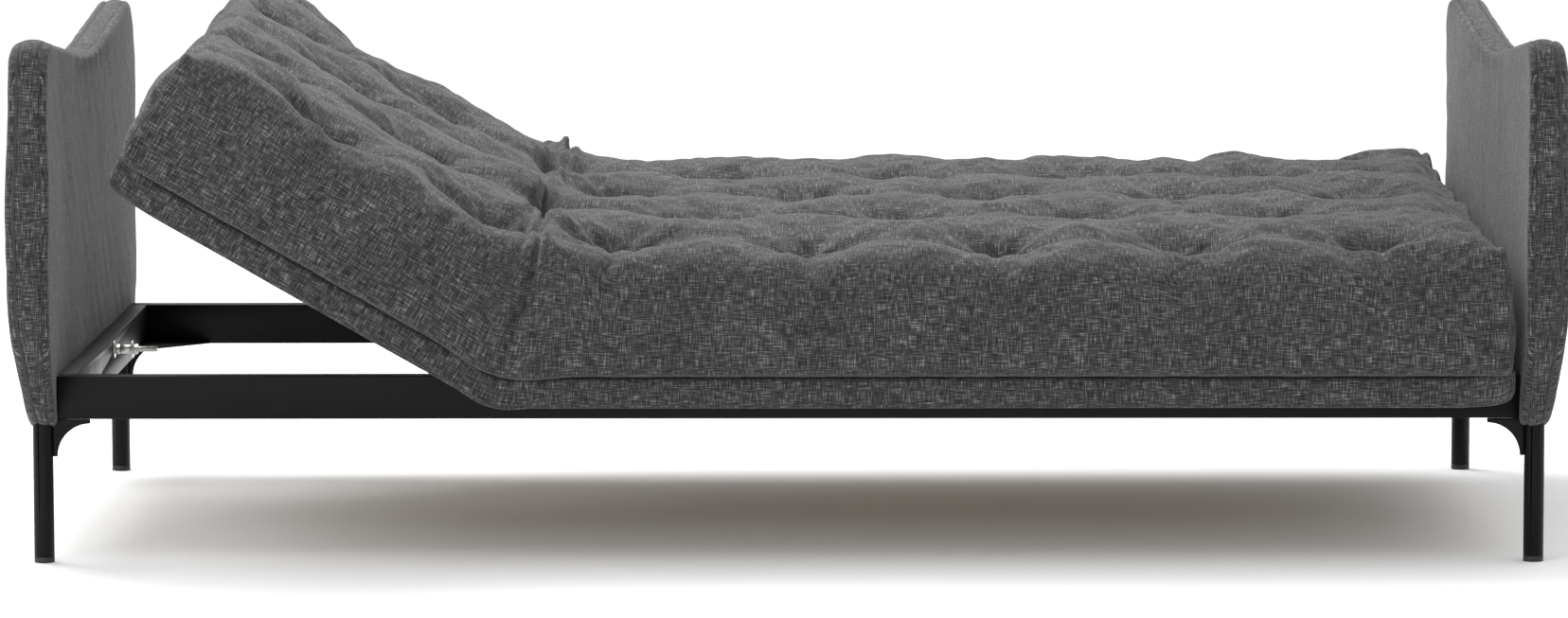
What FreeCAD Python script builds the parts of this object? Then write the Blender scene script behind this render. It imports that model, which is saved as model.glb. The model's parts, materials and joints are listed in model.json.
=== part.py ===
import FreeCAD, Part
import math
import os

import Sketcher

# A futon sofa bed laid out as a bed. +X runs along the bed from the headrest to the foot, +Z is
# up, and the origin is on the floor under the middle of the frame. Sizes are in millimetres.
# The slatted tray leans about X, because it lies on the near rail with its slats and on the far
# rail with its boards, and its head section tilts about a cross axis at its slats' underside.

doc = FreeCAD.newDocument("FutonSofaBed")
sheet = doc.addObject("Spreadsheet::Sheet", "dims")

DIMENSIONS = [
    # steel frame
    ("bed_length", 2030, "clear length between the two arms"),
    ("rail_spread", 1000, "outside to outside of the two side rails"),
    ("rail_height", 60, "height of every rail"),
    ("rail_width", 30, "width of a side rail"),
    ("end_rail_width", 25, "width of an end rail"),
    ("rail_wall", 2, "wall of the rail tube"),
    ("rail_bottom", 200, "height of the rails' underside"),
    ("gusset_side", 100, "side of a corner gusset"),
    ("plate_thickness", 3, "sheet steel of gussets and hinge plates"),
    # legs
    ("leg_diameter", 28, "outside of a leg tube"),
    ("leg_wall", 2, "wall of a leg tube"),
    ("leg_cover", 3, "padding over the outside of a leg at the arm's lower edge"),
    ("leg_top", 340, "height of a leg's upper end, inside the arm"),
    ("glide_height", 8, "plastic glide under the leg"),
    ("glide_plug", 16, "plug of the glide inside the tube"),
    ("bracket_radius", 46, "hollow of the leg bracket"),
    ("bracket_land", 6, "straight end of the leg bracket"),
    ("bracket_thickness", 4, "plate of the leg bracket"),
    ("leg_bolt_low", 245, "height of the lower leg bolt"),
    ("leg_bolt_pitch", 60, "between the two bolts of a leg"),
    ("leg_bolt_length", 75, "shank of a leg bolt"),
    ("dowel_diameter", 12, "barrel nut that takes a leg bolt"),
    ("dowel_length", 22, "length of the barrel nut"),
    # arms
    ("arm_overhang", 75, "how far an arm stands out past each side rail"),
    ("arm_bottom", 184, "height of an arm's lower edge"),
    ("arm_ear_top", 731, "height where the arm's sloping top would meet its upright edge"),
    ("arm_valley_top", 671, "height of the top's low point before rounding"),
    ("arm_belly", 62, "greatest thickness of an arm"),
    ("arm_crown", 53, "thickness of an arm at its top"),
    ("arm_shoulder", 310, "height where the lower corners start to turn in"),
    ("arm_corner_inset", 60, "how far the lower corners turn in"),
    ("ear_radius", 55, "rounding of an ear"),
    ("arm_belly_low", 370, "height where the arm's greatest thickness starts"),
    ("arm_belly_high", 470, "height where it ends"),
    ("valley_radius", 1500, "rounding of the top's low point"),
    ("lower_radius", 60, "rounding of the lower corners and shoulders"),
    ("core_thickness", 28, "board inside an arm"),
    ("arm_inner_padding", 6, "padding between an arm's board and its inner face"),
    ("core_margin", 16, "padding around the board's edge"),
    # fasteners
    ("bolt_diameter", 8, "shank of every machine bolt"),
    ("bolt_head", 13, "head of a leg bolt"),
    ("bolt_head_height", 5, "height of that head"),
    ("nut_flats", 13, "across the flats of a nut"),
    ("nut_height", 7, "height of a nut"),
    ("washer_diameter", 26, "outside of a washer"),
    ("washer_thickness", 2.5, "thickness of a washer"),
    ("spacer_length", 17, "sleeve between washer and nut"),
    ("spacer_diameter", 13, "outside of that sleeve"),
    ("stud_height", 243, "height of the stud that holds arm and end rail together"),
    ("stud_reach", 64, "how far the stud stands out of the end rail"),
    ("insert_flange", 24, "flange of the insert that anchors the stud"),
    ("insert_flange_thickness", 2, "thickness of that flange"),
    ("insert_barrel", 11, "barrel of the insert"),
    ("insert_depth", 12, "depth of the barrel in the board"),
    ("hole_clearance", 0.4, "radial room of a bolt in its hole"),
    ("thread_clearance", 0.05, "radial room between thread and nut"),
    # slatted tray
    ("tray_clearance", 2, "between the near rail's top and the slats"),
    ("tray_end_gap", 10, "between the flat tray's end and the arm"),
    ("tray_side_gap", 22, "between a side rail's face and the tray's long board"),
    ("skirt_height", 41, "height of the covered tray boards"),
    ("board_thickness", 20, "timber of the tray boards"),
    ("cover_thickness", 3, "fabric and wadding around the boards"),
    ("rail_clearance", 8, "between the tray's inner boards and what they pass"),
    ("slat_thickness", 12, "thickness of a slat"),
    ("slat_width", 70, "width of a slat"),
    ("slat_pitch", 120, "greatest pitch of the slats"),
    ("slat_inset", 13, "slat end behind the skirt's face"),
    ("slat_start", 30, "from the tilt axis to the first slat"),
    ("nose_width", 12, "bar that closes the tray's end"),
    ("batten_width", 45, "lengthwise batten under the slats"),
    ("buffer_length", 50, "length of a buffer on the near rail"),
    ("buffer_width", 20, "width of that buffer"),
    ("block_width", 40, "length of a support block on the far rail"),
    ("support_clearance", 0.4, "room above a buffer or block"),
    # tilting head section
    ("pivot_x", -400, "place of the tilt axis along the bed"),
    ("tilt_rest", 30, "tilt of the head section as modelled"),
    ("tilt_max", 60, "tilt of the head section at its highest notch"),
    ("fold_gap", 8, "board end to the tilt axis"),
    ("hinge_strap", 150, "length of a hinge strap"),
    ("hinge_strap_width", 26, "width of a hinge strap"),
    ("hinge_ear", 11, "radius of the strap's round end"),
    ("hinge_strap_drop", 2, "strap's upper edge under the slats"),
    ("hinge_play", 0.3, "side play between hinge plates"),
    ("hinge_room", 14, "room that the hinge takes inside the tray's side boards"),
    ("hinge_pin_diameter", 10, "pin that the head section tilts on"),
    ("hinge_pin_play", 0.05, "radial play of the pin"),
    ("hinge_pin_head", 14, "head of the pin"),
    ("housing_depth", 4, "closed housing that holds the ratchet"),
    ("screw_diameter", 5, "screws that hold the hinge straps"),
    ("screw_length", 14, "depth of a strap screw in its board"),
    ("screw_first", 60, "from the tilt axis to a strap's first screw"),
    ("screw_pitch", 70, "between a strap's two screws"),
    ("spacer_ring", 12, "outside of the spacers between head board and strap"),
    # mattress
    ("mattress_end", 2, "how far the mattress reaches past the tray's end"),
    ("mattress_side", 22, "how far it reaches past the tray's side"),
    ("mattress_thickness", 150, "mean thickness of the tufted mattress"),
    ("mattress_lift", 0.5, "between the slats and the mattress"),
    ("mattress_corner", 25, "rounding of the mattress's upright corners"),
    ("mattress_gap", 2, "cut-back of the mattress at the fold"),
]

for row, (name, value, note) in enumerate(DIMENSIONS, start=1):
    sheet.set(f"A{row}", name)
    sheet.set(f"B{row}", str(value))
    sheet.set(f"C{row}", note)
    sheet.setAlias(f"B{row}", name)
doc.recompute()

SHEET = "dims."
NEAR_FAR = (("near", -1), ("far", 1))
LEFT_RIGHT = (("left", -1), ("right", 1))
X_AXIS, Y_AXIS, Z_AXIS = (1, 0, 0), (0, 1, 0), (0, 0, 1)
nodes = []


def sized(formula):
    """Return the formula, a string or a number, with every dimension's name led by the sheet's."""
    words = {name for name, _, _ in DIMENSIONS}
    out = ""
    word = ""
    for letter in str(formula) + " ":
        if letter.isalnum() or letter == "_":
            word += letter
            continue
        out += SHEET + word if word in words else word
        out += letter
        word = ""
    return out.strip()


def value_of(formula):
    """Return the number that a formula gives with the present dimensions."""
    found = sheet.evalExpression(sized(formula))
    return float(getattr(found, "Value", found))


def bind(thing, **formulas):
    """Bind properties of an object to formulas over the sheet's dimensions."""
    for prop, formula in formulas.items():
        thing.setExpression(prop, sized(formula))


def place(thing, at=(0, 0, 0), axis=Z_AXIS, angle=0):
    """Place an object by formulas: a point and a turn about an axis."""
    own = "placement(vector({};{};{}); rotation(vector({};{};{}); {}))".format(*at, *axis, angle)
    thing.setExpression("Placement", sized(own))
    return thing


def carry(thing, frame):
    """Carry an object, with the place that it has, into another object's frame."""
    own = dict(thing.ExpressionEngine).get("Placement")
    thing.setExpression("Placement", f"{frame.Name}.Placement" + (f" * {own}" if own else ""))
    return thing


def node(thing, name):
    """Mark an object as a sub-part under its own name."""
    thing.Label = name
    nodes.append(thing)
    return thing


def box(size, at):
    """A Part::Box with its sides along the axes, placed by its lowest corner."""
    made = doc.addObject("Part::Box", "Box")
    bind(made, Length=size[0], Width=size[1], Height=size[2])
    return place(made, at)


def cylinder(diameter, length, at, along=Z_AXIS):
    """A Part::Cylinder from a point along +X, +Y or +Z."""
    made = doc.addObject("Part::Cylinder", "Cylinder")
    bind(made, Radius=f"({diameter}) / 2", Height=length)
    turns = {X_AXIS: (Y_AXIS, 90), Y_AXIS: (X_AXIS, -90), Z_AXIS: (Z_AXIS, 0)}
    return place(made, at, *turns[along])


def hexagon(flats, length, at):
    """A hexagonal prism from a point along +X."""
    made = doc.addObject("Part::Prism", "Prism")
    bind(made, Circumradius=f"({flats}) / 2 / cos(30)", Height=length)
    return place(made, at, Y_AXIS, 90)


def cut(base, *tools):
    """One object less all the others."""
    made = doc.addObject("Part::Cut", "Cut")
    made.Base = base
    made.Tool = tools[0] if len(tools) == 1 else fuse(*tools)
    return made


def fuse(*parts):
    """Several objects as one solid, or as one tool."""
    made = doc.addObject("Part::MultiFuse", "Fuse")
    made.Shapes = list(parts)
    return made


def group(*parts):
    """Separate solids that share one node."""
    made = doc.addObject("Part::Compound", "Group")
    made.Links = list(parts)
    return made


def plane_of(body, role):
    """One of a body's own origin planes."""
    return [item for item in body.Origin.OriginFeatures if item.Role == role][0]


def outline(body, role, points, lift=0):
    """A closed sketch on an origin plane whose corners are bound to formulas.

    A YZ sketch has across = Y and up = Z, and an XZ sketch has across = X and up = Z.
    """
    sketch = body.newObject("Sketcher::SketchObject", "Outline")
    sketch.AttachmentSupport = (plane_of(body, role), [""])
    sketch.MapMode = "FlatFace"
    sketch.setExpression("AttachmentOffset.Base.z", sized(lift))
    corners = [FreeCAD.Vector(value_of(a), value_of(b), 0) for a, b in points]
    count = len(points)
    for i in range(count):
        sketch.addGeometry(Part.LineSegment(corners[i], corners[(i + 1) % count]), False)
    for i in range(count):
        sketch.addConstraint(Sketcher.Constraint("Coincident", i, 2, (i + 1) % count, 1))
    for i, formulas in enumerate(points):
        for kind, formula, number in zip(("DistanceX", "DistanceY"), formulas, corners[i]):
            index = sketch.addConstraint(Sketcher.Constraint(kind, -1, 1, i, 1, number))
            sketch.setExpression(f"Constraints[{index}]", sized(formula))
    return sketch


def pad(body, sketch, length, reverse=False, both_ways=False):
    """Extrude a sketch; both_ways centres the length on the sketch."""
    made = body.newObject("PartDesign::Pad", "Pad")
    made.Profile = sketch
    bind(made, Length=length)
    made.Reversed = reverse
    if both_ways:
        made.SideType = "Symmetric"
    doc.recompute()
    return made


def pocket(body, sketch, length):
    """Cut a sketch out of a body, the length being centred on the sketch."""
    made = body.newObject("PartDesign::Pocket", "Pocket")
    made.Profile = sketch
    bind(made, Length=length)
    made.SideType = "Symmetric"
    before = body.Shape.Volume
    doc.recompute()
    if body.Shape.Volume >= before:
        raise RuntimeError(f"{body.Label}: the pocket removes nothing")
    return made


def fillet(body, keep, radius):
    """Round the edges of a body's tip that a test of the edge keeps."""
    base = body.Tip
    names = [f"Edge{i}" for i, edge in enumerate(base.Shape.Edges, start=1) if keep(edge)]
    made = body.newObject("PartDesign::Fillet", "Fillet")
    made.Base = (base, names)
    bind(made, Radius=radius)
    doc.recompute()
    return made


def rectangle(left, right, low, high):
    """Corner formulas of a rectangle."""
    return [(left, low), (right, low), (right, high), (left, high)]


def prism_body(role, points, length, **options):
    """A body padded from one outline, without a place yet."""
    body = doc.addObject("PartDesign::Body", "Body")
    pad(body, outline(body, role, points), length, **options)
    return body


def low_end(start, side, length):
    """Lower end of a length that runs outwards from a distance on one side of the origin."""
    return f"({start})" if side > 0 else f"-({start}) - ({length})"


# ---------------------------------------------------------------- steel frame

ARM_FACE = "bed_length / 2"
RAIL_TOP = "(rail_bottom + rail_height)"
END_RAIL_FACE = "(bed_length / 2 - end_rail_width)"
RAIL_FACE = "(rail_spread / 2 - rail_width)"
LEG_SIDE = "(bed_length / 2 + arm_inner_padding)"
LEG_X = f"({LEG_SIDE} + leg_diameter / 2)"
CORE_FACE = f"({LEG_X} - core_thickness / 2)"
CORE_BACK = f"({LEG_X} + core_thickness / 2)"
LEG_OUTSIDE = "(rail_spread / 2 + leg_diameter / 2)"
LEG_END = "(leg_top + hole_clearance)"
BOLT_HOLE = "bolt_diameter + 2 * hole_clearance"
THREAD_HOLE = "bolt_diameter + 2 * thread_clearance"
LEG_BOLT_HEIGHTS = ("leg_bolt_low", "(leg_bolt_low + leg_bolt_pitch)")
DOWEL_Y = "(rail_spread / 2 + leg_diameter / 2 - leg_bolt_length + dowel_diameter / 2 + 2)"


def hollow_bar(role, left, right, low, high, length):
    """A rectangular tube along the normal of an origin plane, centred on that plane."""
    body = prism_body(role, rectangle(left, right, low, high), length, both_ways=True)
    inside = rectangle(f"{left} + rail_wall", f"{right} - rail_wall", f"{low} + rail_wall",
                       f"{high} - rail_wall")
    pocket(body, outline(body, role, inside), length)
    return body


def side_rail(side):
    """One long tube."""
    near_edge = low_end(RAIL_FACE, side, "rail_width")
    return hollow_bar("YZ_Plane", near_edge, f"{near_edge} + rail_width", "rail_bottom", RAIL_TOP,
                      "bed_length")


def end_rail(side):
    """One short tube between the side rails, drilled for the stud that holds the arm."""
    left = low_end(END_RAIL_FACE, side, "end_rail_width")
    bar = hollow_bar("XZ_Plane", left, f"{left} + end_rail_width", "rail_bottom", RAIL_TOP,
                     "rail_spread - 2 * rail_width")
    drill = cylinder(BOLT_HOLE, "end_rail_width + 2", (f"{left} - 1", 0, "stud_height"), X_AXIS)
    return cut(bar, drill)


def gusset(side, depth):
    """A three-cornered plate in one corner of the frame."""
    x, y = f"{side} * {END_RAIL_FACE}", f"{depth} * {RAIL_FACE}"
    corners = [(x, y), (f"{x} - {side} * gusset_side", y), (x, f"{y} - {depth} * gusset_side")]
    body = doc.addObject("PartDesign::Body", "Gusset")
    pad(body, outline(body, "XY_Plane", corners, "rail_bottom"), "plate_thickness")
    return body


for word, side in NEAR_FAR:
    node(side_rail(side), f"rail_{word}")
for word, side in LEFT_RIGHT:
    node(end_rail(side), f"end_rail_{word}")
node(group(*[gusset(side, depth) for _, side in LEFT_RIGHT for _, depth in NEAR_FAR]),
     "corner_gussets")


# ---------------------------------------------------------------- legs


def leg_bolt_cylinders(side, depth, diameter, start, length):
    """Cylinders on the two bolt axes of a leg, from a distance out on its side of the bed."""
    y = low_end(start, depth, length)
    return [cylinder(diameter, length, (f"{side} * {LEG_X}", y, height), Y_AXIS)
            for height in LEG_BOLT_HEIGHTS]


def leg(side, depth):
    """A tube from the glide to inside the arm, drilled for its two bolts."""
    x, y = f"{side} * {LEG_X}", f"{depth} * rail_spread / 2"
    tube = cylinder("leg_diameter", "leg_top - glide_height", (x, y, "glide_height"))
    bore = cylinder("leg_diameter - 2 * leg_wall", "leg_top", (x, y, "glide_height - 1"))
    holes = leg_bolt_cylinders(side, depth, BOLT_HOLE, f"{LEG_OUTSIDE} - leg_diameter - 1",
                               "leg_diameter + 2")
    return cut(tube, bore, *holes)


def glide(side, depth):
    """A plastic foot with a plug that fits the tube."""
    x, y = f"{side} * {LEG_X}", f"{depth} * rail_spread / 2"
    foot = cylinder("leg_diameter", "glide_height", (x, y, 0))
    plug = cylinder("leg_diameter - 2 * leg_wall - 2 * thread_clearance", "glide_plug",
                    (x, y, "glide_height"))
    return fuse(foot, plug)


def leg_bracket(side, depth):
    """A hollow-cornered web between the leg and the underside of the rail."""
    reach = "(bracket_radius + bracket_land)"
    start = f"{LEG_SIDE} - {reach}"
    y = f"{depth} * rail_spread / 2 - bracket_thickness / 2"
    web = box((reach, "bracket_thickness", reach),
              (low_end(start, side, reach), y, f"rail_bottom - {reach}"))
    hollow = cylinder("2 * bracket_radius", "bracket_thickness + 2",
                      (f"{side} * ({start})", f"{y} - 1", f"rail_bottom - {reach}"), Y_AXIS)
    return cut(web, hollow)


def leg_bolt(side, depth):
    """The two bolts of a leg, each a head outside the tube and a shank into the arm's board."""
    heads = leg_bolt_cylinders(side, depth, "bolt_head", LEG_OUTSIDE, "bolt_head_height")
    shanks = leg_bolt_cylinders(side, depth, "bolt_diameter", f"{LEG_OUTSIDE} - leg_bolt_length",
                                "leg_bolt_length")
    return [fuse(head, shank) for head, shank in zip(heads, shanks)]


def barrel_nuts(side, depth):
    """The two cross nuts that take a leg's bolts."""
    made = []
    for height in LEG_BOLT_HEIGHTS:
        at = (f"{side} * {LEG_X} - dowel_length / 2", f"{depth} * {DOWEL_Y}", height)
        barrel = cylinder("dowel_diameter", "dowel_length", at, X_AXIS)
        thread = cylinder(THREAD_HOLE, "dowel_diameter + 2",
                          (f"{side} * {LEG_X}", f"{depth} * {DOWEL_Y} - dowel_diameter / 2 - 1",
                           height), Y_AXIS)
        made.append(cut(barrel, thread))
    return made


CORNERS = [(side, depth) for _, side in LEFT_RIGHT for _, depth in NEAR_FAR]
for side_word, side in LEFT_RIGHT:
    for depth_word, depth in NEAR_FAR:
        node(leg(side, depth), f"leg_{side_word}_{depth_word}")
node(group(*[glide(*corner) for corner in CORNERS]), "leg_glides")
node(group(*[leg_bracket(*corner) for corner in CORNERS]), "leg_brackets")
node(group(*[bolt for corner in CORNERS for bolt in leg_bolt(*corner)]), "leg_bolts")
node(group(*[nut for corner in CORNERS for nut in barrel_nuts(*corner)]), "leg_barrel_nuts")


# ---------------------------------------------------------------- arms

HALF_DEPTH = "(rail_spread / 2 + arm_overhang)"
ARM_FOOT = "(arm_inner_padding + leg_diameter + leg_cover)"
TOP_SLOPE = f"((arm_ear_top - arm_valley_top) / {HALF_DEPTH})"


def mirrored(half):
    """Both halves of an outline that is symmetric across Y; the half runs from bottom to top."""
    return half + [(f"-({y})", z) for y, z in reversed(half)]


def arm_blank(side):
    """The padded outside of an arm: winged top, turned-in lower corners and a bulging back."""
    body = doc.addObject("PartDesign::Body", "Arm")
    half = [(f"{HALF_DEPTH} - arm_corner_inset", "arm_bottom"), (HALF_DEPTH, "arm_shoulder"),
            (HALF_DEPTH, "arm_ear_top")]
    points = mirrored(half)
    points.insert(len(half), (0, "arm_valley_top"))
    face = outline(body, "YZ_Plane", points, f"{side} * {ARM_FACE}")
    pad(body, face, "arm_belly + 5", reverse=side < 0)
    tops = (value_of("arm_ear_top"), value_of("arm_valley_top"))

    def runs_along_x(edge):
        ends = [point.Point for point in edge.Vertexes]
        return len(ends) == 2 and abs(ends[0].y - ends[1].y) + abs(ends[0].z - ends[1].z) < 0.01

    def at_height(edge, low, high):
        return runs_along_x(edge) and low < edge.Vertexes[0].Point.z < high

    fillet(body, lambda edge: at_height(edge, tops[0] - 1, tops[0] + 1), "ear_radius")
    fillet(body, lambda edge: at_height(edge, tops[1] - 1, tops[1] + 1), "valley_radius")
    fillet(body, lambda edge: at_height(edge, 0, value_of("arm_shoulder") + 1), "lower_radius")
    back = [(ARM_FOOT, "arm_bottom - 5"), ("arm_belly + 20", "arm_bottom - 5"),
            ("arm_belly + 20", "arm_ear_top + 5"), ("arm_crown", "arm_ear_top + 5"),
            ("arm_belly", "arm_belly_high"), ("arm_belly", "arm_belly_low")]
    back = [(f"{side} * ({ARM_FACE} + {x})", z) for x, z in back]
    pocket(body, outline(body, "XZ_Plane", back), f"2 * {HALF_DEPTH} + 10")
    inner = value_of(ARM_FACE)
    fillet(body, lambda edge: all(abs(abs(point.Point.x) - inner) < 0.01
                                  for point in edge.Vertexes), "arm_inner_padding - 1")
    return body


def core_blank(side):
    """The board inside an arm, notched at both lower corners for the legs."""
    body = doc.addObject("PartDesign::Body", "Core")
    notch = "(rail_spread / 2 - leg_diameter / 2 - hole_clearance)"
    edge = f"({HALF_DEPTH} - core_margin)"
    half = [(notch, "arm_bottom + core_margin"), (notch, LEG_END), (edge, LEG_END),
            (edge, f"arm_ear_top - core_margin * (1 + {TOP_SLOPE})")]
    points = mirrored(half)
    points.insert(len(half), (0, "arm_valley_top - core_margin"))
    pad(body, outline(body, "YZ_Plane", points, f"{side} * {CORE_FACE}"), "core_thickness",
        reverse=side < 0)
    ear_height = value_of("arm_ear_top") - 2 * value_of("core_margin")
    fillet(body, lambda edge: abs(abs(edge.CenterOfMass.x) - value_of(LEG_X)) < 1
           and edge.CenterOfMass.z > ear_height, "ear_radius - core_margin")
    return body


def arm_core(side, blank):
    """The drilled board."""
    stud = cylinder("insert_barrel", "core_thickness + 2",
                    (low_end(f"{CORE_FACE} - 1", side, "core_thickness + 2"), 0, "stud_height"),
                    X_AXIS)
    drills = [stud]
    for _, depth in NEAR_FAR:
        drills += leg_bolt_cylinders(side, depth, BOLT_HOLE,
                                     f"{LEG_OUTSIDE} - leg_bolt_length - 2", "leg_bolt_length")
        for height in LEG_BOLT_HEIGHTS:
            at = (low_end(f"{CORE_FACE} - 1", side, "core_thickness + 2"), f"{depth} * {DOWEL_Y}",
                  height)
            drills.append(cylinder("dowel_diameter", "core_thickness + 2", at, X_AXIS))
    return cut(blank, *drills)


def arm_pad(side, blank):
    """Foam and cover around the board, legs and fittings, with a channel for each leg's bolts."""
    tools = [blank]
    for _, depth in NEAR_FAR:
        x, y = f"{side} * {LEG_X}", f"{depth} * rail_spread / 2"
        tools.append(cylinder("leg_diameter + 2 * hole_clearance", f"{LEG_END} - arm_bottom + 5",
                              (x, y, "arm_bottom - 5")))
        tools += leg_bolt_cylinders(side, depth, "bolt_head + 2 * hole_clearance",
                                    f"{LEG_OUTSIDE} - leg_diameter / 2",
                                    "leg_diameter / 2 + bolt_head_height + hole_clearance")
        channel = ("leg_diameter / 2", "leg_diameter / 2", f"{LEG_END} - arm_bottom + 5")
        inside = "rail_spread / 2 - leg_diameter / 2 - hole_clearance - 1"
        tools.append(box(channel, (f"{x} - leg_diameter / 4", low_end(inside, depth, channel[1]),
                                   "arm_bottom - 5")))
        slot = ("arm_inner_padding + 2", "bracket_thickness + 2 * hole_clearance",
                "rail_bottom - arm_bottom + 5 + hole_clearance")
        tools.append(box(slot, (low_end(f"{ARM_FACE} - 1", side, slot[0]),
                                f"{y} - bracket_thickness / 2 - hole_clearance",
                                "arm_bottom - 5")))
    stud_room = f"{CORE_FACE} - {ARM_FACE} + 2"
    tools.append(cylinder(BOLT_HOLE, stud_room, (low_end(f"{ARM_FACE} - 1", side, stud_room), 0,
                                                 "stud_height"), X_AXIS))
    flange_room = "insert_flange_thickness + 1 + hole_clearance"
    tools.append(cylinder("insert_flange + 2 * hole_clearance", flange_room,
                          (low_end(f"{CORE_BACK} - 1", side, flange_room), 0, "stud_height"),
                          X_AXIS))
    return cut(arm_blank(side), *tools)


for word, side in LEFT_RIGHT:
    blank = core_blank(side)
    node(arm_core(side, blank), f"arm_{word}_core")
    node(arm_pad(side, blank), f"arm_{word}_pad")


# ---------------------------------------------------------------- studs that hold the arms

STACK = (("frame_washers", "washer_diameter", "washer_thickness"),
         ("frame_nuts", None, "nut_height"),
         ("frame_spacers", "spacer_diameter", "spacer_length"),
         ("frame_washers", "washer_diameter", "washer_thickness"),
         ("frame_nuts", None, "nut_height"))


def threaded_piece(diameter, length, at):
    """A washer or sleeve on the stud's axis, or a nut where no diameter is given."""
    blank = cylinder(diameter, length, at, X_AXIS) if diameter else hexagon("nut_flats", length, at)
    bore = cylinder(THREAD_HOLE, f"{length} + 2", (f"{at[0]} - 1", *at[1:]), X_AXIS)
    return cut(blank, bore)


stacked = {name: [] for name, _, _ in STACK}
studs = []
inserts = []
for _, side in LEFT_RIGHT:
    reach = END_RAIL_FACE
    for name, diameter, length in STACK:
        reach = f"{reach} - {length}"
        at = (low_end(reach, side, length), 0, "stud_height")
        stacked[name].append(threaded_piece(diameter, length, at))
    length = f"{CORE_BACK} - {END_RAIL_FACE} + stud_reach"
    studs.append(cylinder("bolt_diameter", length,
                          (low_end(f"{END_RAIL_FACE} - stud_reach", side, length), 0,
                           "stud_height"), X_AXIS))
    barrel = cylinder("insert_barrel", "insert_depth",
                      (low_end(f"{CORE_BACK} - insert_depth", side, "insert_depth"), 0,
                       "stud_height"), X_AXIS)
    flange = cylinder("insert_flange", "insert_flange_thickness",
                      (low_end(CORE_BACK, side, "insert_flange_thickness"), 0, "stud_height"),
                      X_AXIS)
    bore = cylinder(THREAD_HOLE, "insert_depth + insert_flange_thickness + 2",
                    (low_end(f"{CORE_BACK} - insert_depth - 1", side,
                             "insert_depth + insert_flange_thickness + 2"), 0, "stud_height"),
                    X_AXIS)
    inserts.append(cut(fuse(barrel, flange), bore))
for name, pieces in stacked.items():
    node(group(*pieces), name)
node(group(*studs), "frame_studs")
node(group(*inserts), "stud_inserts")


# ---------------------------------------------------------------- slatted tray

ROLL = "asin(skirt_height / (rail_spread - rail_width))"
TRAY_HEIGHT = (f"({RAIL_TOP} + tray_clearance - skirt_height * cos({ROLL})"
               f" + rail_spread / 2 * sin({ROLL}))")
BOARD_HEIGHT = "(skirt_height - cover_thickness)"
BOARD_INNER = "(rail_spread / 2 + tray_side_gap)"
BOARD_BACK = f"({BOARD_INNER} + board_thickness)"
TRAY_SIDE = f"({BOARD_BACK} + cover_thickness)"
TRAY_END = "(bed_length / 2 - tray_end_gap)"
BOARD_END = f"({TRAY_END} - cover_thickness)"
SLAT_SIDE = f"({TRAY_SIDE} - slat_inset)"
CROSS_END = f"({END_RAIL_FACE} - stud_reach - rail_clearance)"
CROSS_NEAR = f"({RAIL_FACE} - rail_clearance)"

seat_frame = doc.addObject("App::Placement", "SeatFrame")
place(seat_frame, (0, 0, TRAY_HEIGHT), X_AXIS, ROLL)
head_frame = doc.addObject("App::Placement", "HeadFrame")
head_frame.setExpression("Placement", "SeatFrame.Placement * " + sized(
    "placement(vector(0;0;0); rotation(vector(0;1;0); tilt_rest); vector(pivot_x;0;skirt_height))"))


def run(section, start, end):
    """Lower end and length of a stretch between two distances along a tray section.

    The seat runs to the right of the tilt axis and the head to the left of it.
    """
    length = f"({end}) - ({start})"
    return (start if section > 0 else f"-({end})"), length


def from_axis(section, distance):
    """A place along a section given by its distance from the tilt axis, signed outwards."""
    return f"({section} * pivot_x + {distance})"


def side_board(section, depth):
    """A long board of the tray, with the holes of its hinge screws."""
    x, length = run(section, from_axis(section, "fold_gap"), BOARD_END)
    y = low_end(BOARD_INNER, depth, "board_thickness")
    board = box((length, "board_thickness", BOARD_HEIGHT), (x, y, "cover_thickness"))
    return cut(board, *strap_screws(section, depth, "screw_diameter + 2 * thread_clearance"))


def cross_board(section, start, far_room):
    """A board across the tray, clear of both rails, from a distance along its section."""
    x, length = run(section, start, f"{start} + board_thickness")
    width = f"{CROSS_NEAR} + {BOARD_INNER} - {far_room}"
    return box((length, width, BOARD_HEIGHT), (x, f"-{CROSS_NEAR}", "cover_thickness"))


def batten(section):
    """A lengthwise batten under the middle of the slats."""
    x, length = run(section, from_axis(section, "fold_gap + board_thickness"),
                    f"{CROSS_END} - board_thickness")
    return box((length, "batten_width", BOARD_HEIGHT), (x, "-batten_width / 2", "cover_thickness"))


def slat_places(section):
    """Distances of the slats' inner edges along a section: evenly spaced, first to last."""
    first = from_axis(section, "slat_start")
    last = f"({BOARD_END} - nose_width - slat_width - 1)"
    gaps = math.ceil(value_of(f"{last} - {first}") / value_of("slat_pitch"))
    return [f"({first} + ({last} - {first}) * {i} / {gaps})" for i in range(gaps + 1)]


def slats(section):
    """All slats of a section."""
    made = []
    for place_along in slat_places(section):
        x, length = run(section, place_along, f"{place_along} + slat_width")
        made.append(box((length, f"2 * {SLAT_SIDE}", "slat_thickness"),
                        (x, f"-{SLAT_SIDE}", "skirt_height")))
    return made


def nose(section):
    """The bar that closes the tray's free end."""
    x, length = run(section, f"{BOARD_END} - nose_width", BOARD_END)
    return box((length, f"2 * {SLAT_SIDE}", "slat_thickness"),
               (x, f"-{SLAT_SIDE}", "skirt_height"))


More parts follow.
